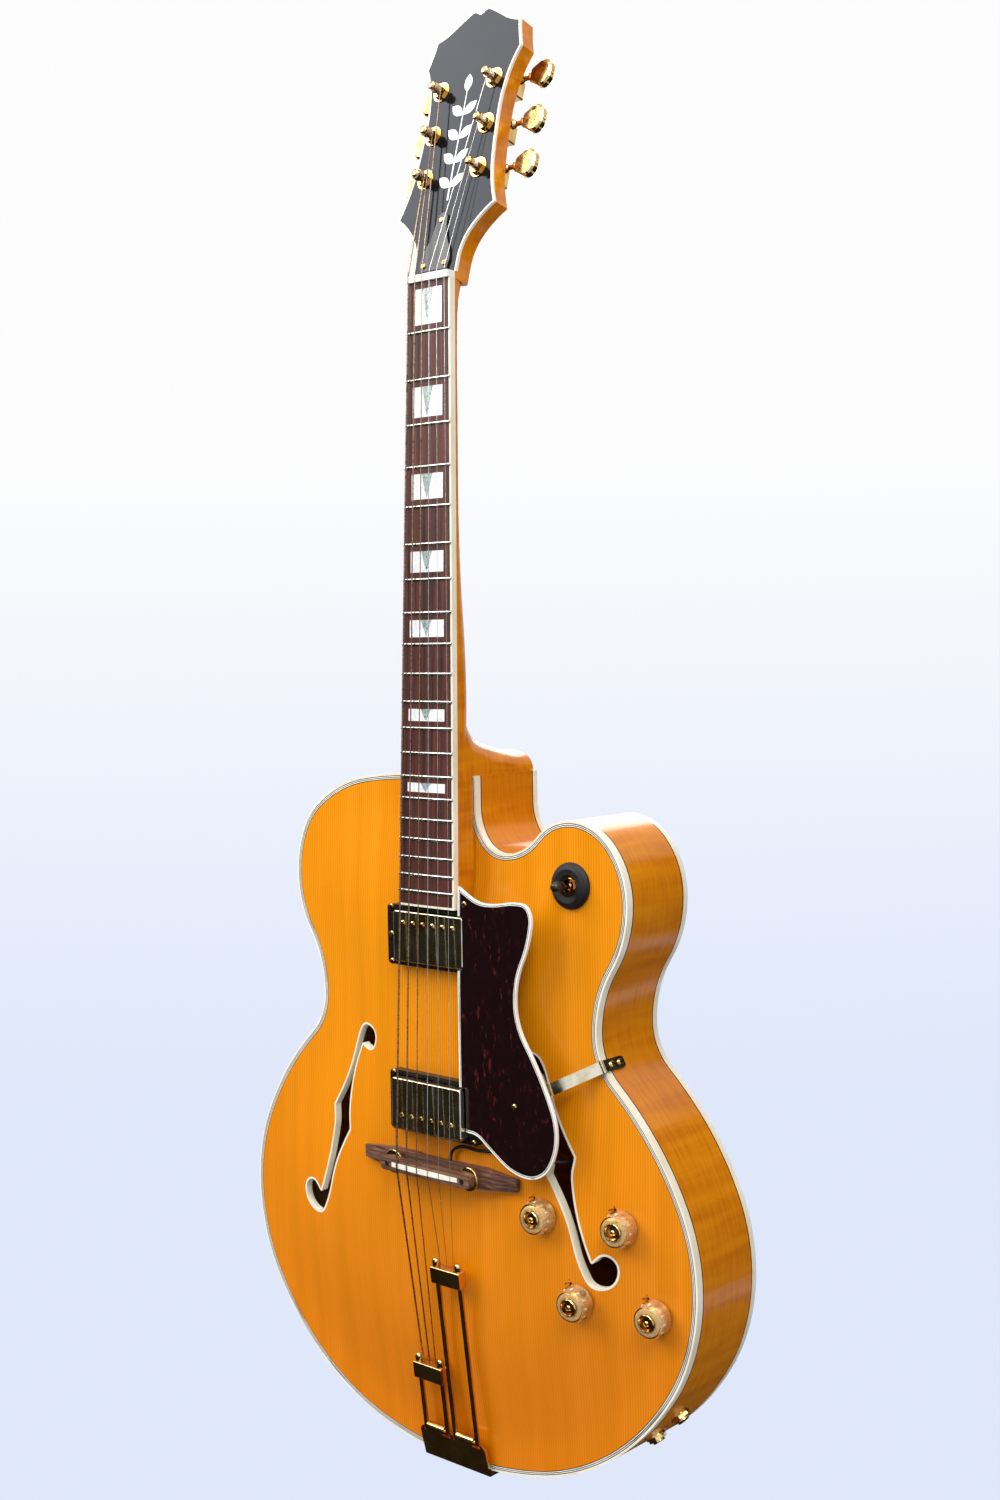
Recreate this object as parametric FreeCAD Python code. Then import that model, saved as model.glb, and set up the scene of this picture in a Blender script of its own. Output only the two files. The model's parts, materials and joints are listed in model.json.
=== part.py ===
import FreeCAD, Part
import math
import os

os.makedirs("parts", exist_ok=True)
V = FreeCAD.Vector
Placement = FreeCAD.Placement
Rotation = FreeCAD.Rotation

# An archtop guitar, in millimetres. Z runs from the tail to the head, the front faces -Y and +X is the
# treble side. The origin is where the strap button meets the tail of the rim, at half its depth.

# Body plan
BODY_LENGTH = 520.0
LOWER_BOUT = 444.0
LOWER_BOUT_Z = 176.0
TAIL_CORNER_IN = 77.0
TAIL_CORNER_Z = 41.0
TAIL_CORNER_ANGLE = 35.5
FLANK_Z = 281.0
FLANK_ANGLE = 129.0
WAIST = 276.0
WAIST_Z = 343.0
UPPER_BOUT = 333.0
UPPER_BOUT_Z = 436.0
SHOULDER_IN = 28.0
SHOULDER_DROP = 25.0
SHOULDER_ANGLE = 215.0
HORN_X = 117.0
HORN_DROP = 28.0
CUTAWAY_X = 54.0
CUTAWAY_DEPTH = 55.5
CUTAWAY_TOP_DROP = 23.0
JOINT_HALF = 27.5

# Body walls
RIM_DEPTH = 70.0
RIM_WALL = 2.5
TOP_THICKNESS = 6.0
BACK_THICKNESS = 5.0
TOP_ARCH = 14.5
BACK_ARCH = 13.0
ARCH_START = 14.0
ARCH_END = 110.0
ARCH_GRID = 15.0
OUTLINE_SAMPLES = 320
BINDING_WIDTH = 1.6
PURFLING_PLY = 0.6
PURFLING_PLIES = 5
PURFLING_DEPTH = 1.2
LINING_WIDTH = 6.0
LINING_HEIGHT = 12.0
NECK_BLOCK_LENGTH = 62.0
NECK_BLOCK_HALF = 40.0
TAIL_BLOCK_LENGTH = 30.0
TAIL_BLOCK_HALF = 42.0
TONE_BAR_X = 49.0
TONE_BAR_WIDTH = 7.0
TONE_BAR_DEPTH = 9.0
TONE_BAR_LOW_Z = 150.0
TONE_BAR_HIGH_Z = 440.0
F_BINDING = 1.6
GLUE_GAP = 0.03

# F-hole on the treble side: x, z, heading in, heading out
F_HOLE = (
    (83.5, 325.6, 180), (70.2, 315.5, 270), (78.5, 304.8, 0), (88.2, 307.4, 30, 299), (101.0, 254.0, 269),
    (99.5, 239.5, 264, 304), (118.5, 205.5, 291), (126.3, 182.0, 293), (142.0, 165.2, 0), (160.0, 181.6, 90),
    (149.2, 192.0, 180), (138.0, 185.1, 227, 115), (121.5, 240.0, 97), (123.0, 256.0, 85, 125),
    (101.9, 295.0, 110), (92.7, 319.4, 120), (83.5, 325.6, 180),
)

# Neck and fingerboard
SCALE = 647.7
FRETS = 20
JOINT_FRET = 14
NECK_PITCH = 1.9
BOARD_LIFT = 23.2
BOARD_THICKNESS = 6.0
BOARD_LENGTH = 455.0
BOARD_RADIUS = 305.0
BOARD_BINDING = 1.6
NUT_WIDTH = 42.5
BOARD_END_WIDTH = 55.6
FRET_WIDTH = 2.4
FRET_CROWN = 1.1
TANG_WIDTH = 0.5
TANG_DEPTH = 1.5
INLAY_SPACES = (1, 3, 5, 7, 9, 12, 15)
INLAY_SIDE_MARGIN = 7.7
INLAY_FRET_MARGIN = 5.2
INLAY_LEAST_HEIGHT = 6.8
INLAY_DEPTH = 1.4
WEDGE_WIDTH = 11.0
NUT_LENGTH = 5.0
NUT_SLOT_GAP = 0.1
NECK_DEPTH_NUT = 15.0
NECK_DEPTH_JOINT = 17.5
NECK_ROUNDNESS = 2.3
NECK_SQUARE = 4.5
SECTION_POINTS = 14
EXTENSION_GAP = 2.0
EXTENSION_END_GAP = 3.0
TENON_HALF = 13.0
TENON_LENGTH = 24.0
TENON_INSET = 8.0
HEEL_FOOT = 0.5
SHAFT_OVERLAP = 2.0
TRUSS_RADIUS = 3.0
TRUSS_DEPTH = 13.5
TRUSS_LOW_Z = -15.0
TRUSS_NUT_RADIUS = 3.8
TRUSS_NUT_LENGTH = 6.0
TRUSS_NUT_Z = 3.0

# Heel sections: share of the way from the back of the shaft to the foot, reach, half width
HEEL_SECTIONS = (
    (-0.2, 78.0, 26.0), (-0.063, 64.5, 26.0), (0.06, 41.2, 25.6), (0.18, 30.8, 25.2), (0.42, 22.5, 24.6),
    (0.7, 17.2, 24.2), (1.0, 15.0, 24.0),
)

# Headstock: x, height above the nut, heading in, heading out
HEAD_PITCH = 14.0
HEAD_DROP = 5.0
HEAD_THICKNESS = 12.2
VENEER = 2.3
HEAD_BINDING = 1.4
HEAD_START = 5.2
HEAD_EDGE = (
    (0.0, 0.0, 0), (21.6, 0.0, 0, 90), (21.8, 16.0, 88), (48.2, 54.5, 31, 114), (36.2, 128.0, 91),
    (47.0, 176.0, 61, 108), (41.4, 198.0, 98, 168), (9.0, 214.6, 152), (0.0, 212.0, 212, 148),
)
COVER_EDGE = (
    (0.0, 8.0, 0), (13.5, 8.0, 0, 90), (14.5, 17.0, 100), (6.5, 38.0, 105), (0.0, 53.0, 180),
)
COVER_THICKNESS = 1.6
COVER_SCREWS = ((0.0, 47.0), (-10.5, 12.5), (10.5, 12.5))
POCKET_HALF = 5.2
POCKET_LOW = 8.4
POCKET_TOP = 26.0
POCKET_DEPTH = 11.5

# Tuners
POST_X = 26.4
POST_HEIGHTS = (84.0, 118.5, 154.0)
POST_RADIUS = 3.0
POST_TIP = 13.0
BUSHING_RADIUS = 5.0
BUSHING_LENGTH = 10.0
WASHER_RADIUS = 7.6
WASHER_THICKNESS = 0.9
BUSHING_HEX = 5.9
BUSHING_HEX_HEIGHT = 3.0
HOUSING_HALF = 8.0
HOUSING_DEPTH = 10.5
HOUSING_BELOW = 7.0
HOUSING_WALL = 1.5
HOUSING_EDGE = 1.0
GEAR_RADIUS = 4.2
GEAR_THICKNESS = 4.0
WORM_RADIUS = 2.4
WORM_LENGTH = 8.0
WORM_GAP = 0.3
SHAFT_RADIUS = 2.0
BUTTON_START = 18.0
BUTTON_LENGTH = 19.5
BUTTON_ROOT = 4.5
BUTTON_WIDTH = 10.8
BUTTON_THICKNESS = 7.0
BUTTON_EDGE = 1.6
WINDING_TURNS = 3
WINDING_START = 5.0
WINDING_PITCH_GAP = 0.55

# Strings, from the first (thinnest) to the sixth
STRING_WIDTHS = (0.36, 0.43, 0.61, 0.81, 1.07, 1.32)
NUT_SPAN = 35.5
SADDLE_SPAN = 54.0
STRING_OVER_FRET = 0.5
STRING_SEAT = 0.15
STRING_BEND = 2.0
GROOVE_DEPTH = 0.2
COMPENSATION = 2.5
POST_STOP = 2.2
POST_STOP_WIDTHS = 1.6

# Pickups
PICKUP_ZS = (275.5, 400.5)
COVER_TOPS = (30.3, 25.0)
RING_TOPS = (21.4, 20.8)
RING_SCREW_LENGTH = 5.5
POLE_OFFSETS = (-9.0, 9.5)
COVER_LENGTH = 70.0
COVER_WIDTH = 38.0
COVER_DEPTH = 19.0
COVER_WALL = 0.8
COVER_CORNER = 2.5
COVER_FILLET = 1.2
RING_LENGTH = 89.0
RING_WIDTH = 45.0
RING_CLEARANCE = 0.5
RING_CORNER = 3.0
COIL_DEPTH = 10.0
COIL_GAP = 0.3
POLE_SPAN = 50.0
POLE_HEAD_RADIUS = 2.5
POLE_HEAD_HEIGHT = 0.9
POLE_RADIUS = 1.5
POLE_LENGTH = 15.0
ROUTE_MARGIN = 1.5

# Small screws
SCREW_HEAD_RADIUS = 2.2
SCREW_HEAD_HEIGHT = 1.1
SCREW_RADIUS = 1.1
SCREW_LENGTH = 7.0
SCREW_SHOULDER = 0.6
SCREW_CROWN = 0.7
SLOT_WIDTH = 0.6
SLOT_DEPTH = 0.5

# Controls: x and z of each shaft on the top
KNOB_PLACES = (
    ("neck_volume_knob", 97.0, 211.0), ("neck_tone_knob", 162.0, 212.5),
    ("bridge_volume_knob", 127.0, 155.0), ("bridge_tone_knob", 188.5, 155.5),
)
KNOB_RADIUS = 12.8
KNOB_TOP_RADIUS = 11.6
KNOB_HEIGHT = 15.0
KNOB_LIFT = 1.1
KNOB_HOLLOW_RADIUS = 9.0
KNOB_HOLLOW = 4.5
KNOB_EDGE = 1.0
KNOB_DISH_RADIUS = 7.4
KNOB_DISH = 2.6
KNOB_BOSS_RADIUS = 3.4
KNOB_BOSS_TOP_RADIUS = 2.0
POT_RADIUS = 12.0
POT_DEPTH = 9.0
POT_BUSHING_RADIUS = 4.6
POT_BUSHING_TOP = 3.4
POT_NUT_RADIUS = 6.6
POT_NUT_HEIGHT = 2.2
POT_SHAFT_RADIUS = 3.0
POINTER_RADIUS = 7.5
POINTER_REACH = 16.5
POINTER_ROOT = 6.0
POINTER_HALF = 2.6
POINTER_THICKNESS = 0.6
POINTER_ANGLE = 125.0
SEAT_SINK = 1.5

# Pickup switch
SWITCH_X = 118.0
SWITCH_Z = 446.5
SWITCH_RING_RADIUS = 16.5
SWITCH_RING_HEIGHT = 5.0
SWITCH_RING_SECTION = ((1.0, 0.3), (0.9, 0.75), (0.72, 1.0))
SWITCH_RING_INNER_SHARE = 0.85
SWITCH_NUT_RADIUS = 7.4
SWITCH_NUT_HEIGHT = 4.0
SWITCH_BUSHING_RADIUS = 6.0
SWITCH_BORE = 4.4
SWITCH_BALL = 4.1
PIVOT_RADIUS = 1.5
PIVOT_HALF = 5.4
SWITCH_BUSHING_TOP = 5.2
LEVER_RADIUS = 1.7
LEVER_REACH = 21.0
TIP_RADIUS = 4.0
TIP_LENGTH = 12.0
TIP_SECTION = ((0.7, 0.0), (1.0, 0.5), (0.8, 0.9), (0.4, 1.0))
LEVER_TAIL = 8.0
SWITCH_BOX_HALF = 9.0
SWITCH_BOX_LENGTH = 19.0
SWITCH_BOX_DEPTH = 24.0

# Output jacks, found from points inside the body that they face away from
JACK_FROM = ((165.0, 86.0), (147.0, 66.5))
JACK_BORE = 3.2
JACK_SLEEVE = 4.75
JACK_BODY_RADIUS = 7.0
JACK_BODY_LENGTH = 24.0
JACK_REACH = 5.0
JACK_WASHER_RADIUS = 8.0
JACK_WASHER = 1.0
JACK_HEX = 7.3
JACK_HEX_HEIGHT = 2.4

# Bridge
SADDLE_H = 35.0
BASE_HALF = 77.0
BASE_WIDTH = 16.0
BASE_TIP_WIDTH = 9.0
BASE_TOP_H = 20.5
BASE_TOP_HALF = 46.0
BASE_TIP_THICKNESS = 4.0
FOOT_GAP_HALF = 20.0
FOOT_GAP = 2.5
STUD_X = 38.0
STUD_RADIUS = 2.0
STUD_TIP_H = 33.6
STUD_DEPTH = 5.0
WHEEL_RADIUS = 9.0
WHEEL_LOW_H = 24.0
WHEEL_THICKNESS = 2.6
BRIDGE_TOP_HALF = 45.0
BRIDGE_TOP_WIDTH = 10.0
BRIDGE_TOP_CORNER = 4.0
BRIDGE_TOP_H = 33.2
SADDLE_HALF = 33.3
SADDLE_WIDTH = 3.4
SADDLE_SEAT = 2.5
SLIDE_GAP = 0.3

# Lead from the bridge: x, height over the top, z
LEAD_RADIUS = 1.2
LEAD_POINTS = (
    (13.0, 3.5, 237.1), (13.0, 3.5, 244.0), (24.0, 3.0, 250.0), (40.0, 2.4, 248.0), (60.0, 2.2, 251.0),
    (82.0, 2.4, 247.0), (105.0, 3.2, 250.5), (112.5, -7.0, 249.5), (113.5, -19.0, 246.0),
)

# Tailpiece
KNUCKLE_H = 8.0
KNUCKLE_Z = 23.0
KNUCKLE_RADIUS = 4.0
LEAF_HALF = 33.0
LEAF_THICKNESS = 2.2
LEAF_FOOT = 16.0
LEAF_CORNER = 6.0
LEAF_REST = 0.2
FORK_X = 15.0
ROD_X = 11.0
ROD_RADIUS = 2.0
BASS_BLOCK_Z = 47.0
TREBLE_BLOCK_Z = 130.0
BLOCK_HALF = 14.5
BLOCK_HEIGHT = 13.0
BLOCK_THICKNESS = 9.0
BLOCK_EDGE = 1.2
CAP_RADIUS = 2.8
CAP_HEIGHT = 3.2
TAIL_SPACING = 6.3
BUTTON_PIN_RADIUS = 4.8
BUTTON_PIN_LENGTH = 12.0
BUTTON_FLANGE_RADIUS = 7.6
BUTTON_FLANGE = 3.0

# Pickguard: x, z, heading in, heading out
GUARD_H = 22.8
GUARD_THICKNESS = 2.4
GUARD_PLIES = (1.1, 0.5, 0.5, 0.5)
GUARD_EDGE = (
    (30.0, 264.0, 350), (51.0, 259.5, 323), (94.0, 239.3, 0), (121.6, 273.5, 90), (110.2, 308.5, 117),
    (85.4, 364.0, 90), (100.8, 420.0, 82), (92.0, 434.5, 175), (58.0, 431.7, 180), (32.0, 442.0, 148, 268),
    (30.0, 330.0, 270), (30.0, 264.0, 270, 350),
)
GUARD_COVER_GAP = 1.0
GUARD_SCREWS = ((38.3, 429.5), (83.0, 289.0))
STRAP_WIDTH = 8.5
STRAP_THICKNESS = 1.6
STRAP_END = 5.0
STRAP_LEVEL = 27.0
STRAP_REST = 0.3
RIM_PLATE_REACH = 22.0
RIM_SCREW_YS = (8.0, 17.0)

# Fits
RUN = 0.05
CLEAR = 0.4

# Limits used in the construction
TINY = 1e-6
ALONG = 0.9
TRIM_SHARE = 0.45
MEASURE_STEP = 0.3
NEIGHBOUR_TURN = 0.75

FRONT = -RIM_DEPTH / 2
BACK = RIM_DEPTH / 2
UNDER_TOP = FRONT + TOP_THICKNESS
OVER_BACK = BACK - BACK_THICKNESS
FAR = 200.0
NODES = {}


def fret_z(number):
    """Return a fret's place along the neck, from the joint fret, in the neck's frame."""
    return SCALE * (2 ** (-number / 12) - 2 ** (-JOINT_FRET / 12))


NUT_Z = fret_z(0)
BOARD_END_Z = NUT_Z - BOARD_LENGTH
SADDLE_Z = BODY_LENGTH + NUT_Z - SCALE - COMPENSATION
NECK = Placement(V(0, FRONT - BOARD_LIFT, BODY_LENGTH), Rotation(V(1, 0, 0), -NECK_PITCH))
HEAD = NECK.multiply(Placement(V(0, HEAD_DROP, NUT_Z), Rotation(V(1, 0, 0), -HEAD_PITCH)))
FORK_ANGLE = math.degrees(math.atan2(SADDLE_H - KNUCKLE_H, SADDLE_Z - KNUCKLE_Z))
FORK = Placement(V(0, FRONT - KNUCKLE_H, KNUCKLE_Z), Rotation(V(1, 0, 0), FORK_ANGLE))


def put(shape, placement):
    """Return a copy of the shape moved by the placement."""
    moved = shape.copy()
    moved.Placement = placement.multiply(moved.Placement)
    return moved


def box(x0, x1, y0, y1, z0, z1):
    """Return the box between two corners."""
    return Part.makeBox(x1 - x0, y1 - y0, z1 - z0, V(x0, y0, z0))


def rod(radius, a, b):
    """Return the round rod from a to b."""
    return Part.makeCylinder(radius, (b - a).Length, a, b - a)


def turned(profile):
    """Return the solid turned about Z from its (radius, height) corners."""
    corners = [V(r, 0, z) for r, z in profile]
    return Part.Face(Part.makePolygon(corners + corners[:1])).revolve(V(0, 0, 0), V(0, 0, 1), 360)


def hexagon(across_corner, z0, z1):
    """Return a six-sided prism about Z."""
    turns = [math.pi / 3 * i for i in range(7)]
    corners = [V(across_corner * math.cos(turn), across_corner * math.sin(turn), z0) for turn in turns]
    return Part.Face(Part.makePolygon(corners)).extrude(V(0, 0, z1 - z0))


def arc_edge(a, tangent, b):
    """Return the arc that leaves a along the tangent and ends at b."""
    chord = b - a
    along = chord * (1 / chord.Length)
    side = tangent - along * tangent.dot(along)
    if side.Length < TINY:
        return Part.LineSegment(a, b).toShape()
    rise = 0.5 * chord.Length * math.tan(0.5 * along.getAngle(tangent))
    side.normalize()
    return Part.Arc(a, (a + b) * 0.5 + side * rise, b).toShape()


def biarc(a, ta, b, tb):
    """Return two arcs, tangent to each other, that leave a along ta and reach b along tb."""
    span = b - a
    spread = 2 * (1 - ta.dot(tb))
    if span.cross(ta).Length + span.cross(tb).Length < TINY:
        return [Part.LineSegment(a, b).toShape()]
    lean = span.dot(ta + tb)
    if spread < TINY:
        reach = span.dot(span) / (2 * lean)
    else:
        reach = (math.sqrt(lean * lean + spread * span.dot(span)) - lean) / spread
    middle = (a + b + (ta - tb) * reach) * 0.5
    through = (b - tb * reach) - (a + ta * reach)
    through.normalize()
    return [arc_edge(a, ta, middle), arc_edge(middle, through, b)]


def heading(angle):
    """Return the direction of a plan heading, in degrees from +X towards +Z."""
    return V(math.cos(math.radians(angle)), 0, math.sin(math.radians(angle)))


def plan_wire(nodes, y):
    """Return the wire through plan nodes of x, z, heading in and heading out, at depth y."""
    edges = []
    for a, b in zip(nodes, nodes[1:]):
        edges += biarc(V(a[0], y, a[1]), heading(a[-1]), V(b[0], y, b[1]), heading(b[2]))
    return Part.Wire(edges)


def mirrored(nodes):
    """Return plan nodes that start on the middle line, then their mirror image, as a closed outline."""
    left = [(-n[0], n[1], 360 - n[-1], 360 - n[2]) for n in reversed(nodes) if n[0] > 0]
    return list(nodes) + left + [nodes[0]]


def slab(wire, y0, y1):
    """Return the wire's area between two depths."""
    face = Part.Face(wire)
    face.translate(V(0, y0 - wire.BoundBox.YMin, 0))
    return face.extrude(V(0, y1 - y0, 0))


def inset(wire, distance):
    """Return the wire moved inwards."""
    return wire.makeOffset2D(-distance) if distance else wire


def band(wire, outer, inner, y0, y1):
    """Return the band between two insets of a wire, between two depths."""
    return slab(inset(wire, outer), y0, y1).cut(slab(inset(wire, inner), y0, y1))


def body_nodes():
    """Return the plan nodes of the body, from the tail round the treble side."""
    lower = LOWER_BOUT / 2
    waist = WAIST / 2
    upper = UPPER_BOUT / 2
    corner = lower - TAIL_CORNER_IN
    flank = (lower + waist) / 2
    return [
        (0, 0, 0), (corner, TAIL_CORNER_Z, TAIL_CORNER_ANGLE), (lower, LOWER_BOUT_Z, 90),
        (flank, FLANK_Z, FLANK_ANGLE),
        (waist, WAIST_Z, 90), (upper, UPPER_BOUT_Z, 90), (HORN_X, BODY_LENGTH - HORN_DROP, 180),
        (CUTAWAY_X, BODY_LENGTH - CUTAWAY_DEPTH, 180), (JOINT_HALF, BODY_LENGTH - CUTAWAY_TOP_DROP, 90),
        (JOINT_HALF, BODY_LENGTH, 90, 180), (-JOINT_HALF, BODY_LENGTH, 180),
        (SHOULDER_IN - upper, BODY_LENGTH - SHOULDER_DROP, SHOULDER_ANGLE), (-upper, UPPER_BOUT_Z, 270),
        (-waist, WAIST_Z, 270), (-flank, FLANK_Z, 360 - FLANK_ANGLE), (-lower, LOWER_BOUT_Z, 270),
        (-corner, TAIL_CORNER_Z, 360 - TAIL_CORNER_ANGLE), (0, 0, 0),
    ]


OUTLINE = plan_wire(body_nodes(), 0)
SAMPLES = OUTLINE.discretize(Number=OUTLINE_SAMPLES)
SAMPLE_STEP = OUTLINE.Length / (OUTLINE_SAMPLES - 1)


def arch(x, z):
    """Return the share of the arch's full height over a plan point, 0 at the edge and 1 inside."""
    pull = 0.0
    for p in SAMPLES[1:]:
        squared = (x - p.x) ** 2 + (z - p.z) ** 2 + TINY
        pull += SAMPLE_STEP / (squared * math.sqrt(squared))
    rise = (math.sqrt(2 / pull) - ARCH_START) / (ARCH_END - ARCH_START)
    rise = min(max(rise, 0.0), 1.0)
    return rise * rise * (3 - 2 * rise)


def arch_faces():
    """Return the outer faces of the top and the back."""
    bounds = OUTLINE.BoundBox
    columns = round(bounds.XLength / ARCH_GRID) + 4
    rows = round(bounds.ZLength / ARCH_GRID) + 4
    shares = []
    for i in range(columns):
        x = bounds.Center.x + (i - (columns - 1) / 2) * ARCH_GRID
        shares.append([])
        for j in range(rows):
            z = bounds.Center.z + (j - (rows - 1) / 2) * ARCH_GRID
            shares[-1].append((x, z, arch(x, z)))
    faces = []
    for edge, rise in ((FRONT, -TOP_ARCH), (BACK, BACK_ARCH)):
        surface = Part.BSplineSurface()
        surface.interpolate([[V(x, edge + rise * s, z) for x, z, s in row] for row in shares])
        faces.append(surface.toShape())
    return faces


TOP_FACE, BACK_FACE = arch_faces()
BEHIND_TOP = TOP_FACE.extrude(V(0, FAR, 0))


def top_h(x, z):
    """Return the height of the top over the rim's front plane."""
    return TOP_ARCH * arch(x, z)


def top_seat(x, z):
    """Return the placement of a fitting on the top, with its own Z square to the surface."""
    step = 1.0
    slope_x = (top_h(x + step, z) - top_h(x - step, z)) / (2 * step)
    slope_z = (top_h(x, z + step) - top_h(x, z - step)) / (2 * step)
    return Placement(V(x, FRONT - top_h(x, z), z), Rotation(V(0, 0, 1), V(-slope_x, -1, -slope_z)))


def rim_seat(start):
    """Return the placement of a fitting on the rim, square to the side nearest to an inner plan point."""
    inner = V(start[0], 0, start[1])
    edge = OUTLINE.distToShape(Part.Vertex(inner))[1][0][0]
    return Placement(edge, Rotation(V(0, 0, 1), edge - inner))


def board_drop(x):
    """Return how far the round fingerboard falls away from its middle line at x."""
    return BOARD_RADIUS - math.sqrt(BOARD_RADIUS ** 2 - x * x)


def screw(length=SCREW_LENGTH, head=SCREW_HEAD_RADIUS, height=SCREW_HEAD_HEIGHT, radius=SCREW_RADIUS):
    """Return a slotted round-head screw that stands on Z = 0 with its shank below."""
    body = turned([(0, -length), (radius, -length), (radius, 0), (head, 0), (head, height * SCREW_SHOULDER),
                   (head * SCREW_CROWN, height), (0, height)])
    return body.cut(box(-head, head, -SLOT_WIDTH / 2, SLOT_WIDTH / 2, height - SLOT_DEPTH, height))


FACING = Rotation(V(1, 0, 0), 90)


def facing(x, h, z):
    """Return the placement of a fitting that faces the front, h above the rim's front plane."""
    return Placement(V(x, FRONT - h, z), FACING)


def edges_in_depth(shape):
    """Return the edges of a shape that run along Y."""
    return [e for e in shape.Edges if abs(e.tangentAt(e.FirstParameter).y) > ALONG]


def string_ends(number):
    """Return a string's points at its fork, saddle and nut, for a number counted from the treble side."""
    width = STRING_WIDTHS[number]
    share = 0.5 - number / 5
    x_saddle = share * SADDLE_SPAN
    x_nut = share * NUT_SPAN
    side = 1 if number < 3 else -1
    block_z = TREBLE_BLOCK_Z if number < 3 else BASS_BLOCK_Z
    x_tail = side * FORK_X + (1 - number % 3) * TAIL_SPACING
    tail = FORK.multVec(V(x_tail, 0, block_z + BLOCK_HEIGHT / 2 + STRING_SEAT))
    y_saddle = FRONT - SADDLE_H + board_drop(x_saddle) + GROOVE_DEPTH - width / 2
    y_nut = board_drop(x_nut) - FRET_CROWN - STRING_OVER_FRET - STRING_SEAT - width / 2
    return tail, V(x_saddle, y_saddle, SADDLE_Z), NECK.multVec(V(x_nut, y_nut, NUT_Z))


def tuner_place(number):
    """Return the side and the post height of a tuner, for a string counted from the treble side."""
    if number < 3:
        return 1, POST_HEIGHTS[number]
    return -1, POST_HEIGHTS[5 - number]


def cord(points, radius, trim_limit):
    """Return a round cord along points with its corners rounded, its length and the radii of its bends."""
    edges = []
    radii = []
    start = points[0]
    for a, b, c in zip(points, points[1:], points[2:]):
        back = a - b
        ahead = c - b
        trim = min(trim_limit, TRIM_SHARE * min(back.Length, ahead.Length))
        back.normalize()
        ahead.normalize()
        turn = math.pi - back.getAngle(ahead)
        radii.append(round(trim / math.tan(turn / 2), 1))
        first = b + back * trim
        edges.append(Part.LineSegment(start, first).toShape())
        start = b + ahead * trim
        edges.append(arc_edge(first, back * -1, start))
    edges.append(Part.LineSegment(start, points[-1]).toShape())
    path = Part.Wire(edges)
    ring = Part.Wire([Part.Circle(points[0], points[1] - points[0], radius).toShape()])
    return path.makePipeShell([ring], True, False).Solids[0], path.Length, radii


def make_strings():
    """Make the six strings from the forks over the saddle and the nut to the tuner posts."""
    solids = []
    for number, width in enumerate(STRING_WIDTHS):
        tail, saddle, nut = string_ends(number)
        side, height = tuner_place(number)
        post = HEAD.multVec(V(side * (POST_X - POST_RADIUS - width / 2), -WINDING_START - width / 2, height))
        nut_back = nut + NECK.Rotation.multVec(V(0, 0, NUT_LENGTH + STRING_BEND))
        reach = post - nut_back
        stop = POST_STOP + POST_STOP_WIDTHS * width
        end = nut_back + reach * (1 - stop / reach.Length)
        solids.append(cord([tail, saddle, nut, nut_back, end], width / 2, STRING_BEND)[0])
    NODES["strings"] = solids


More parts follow.
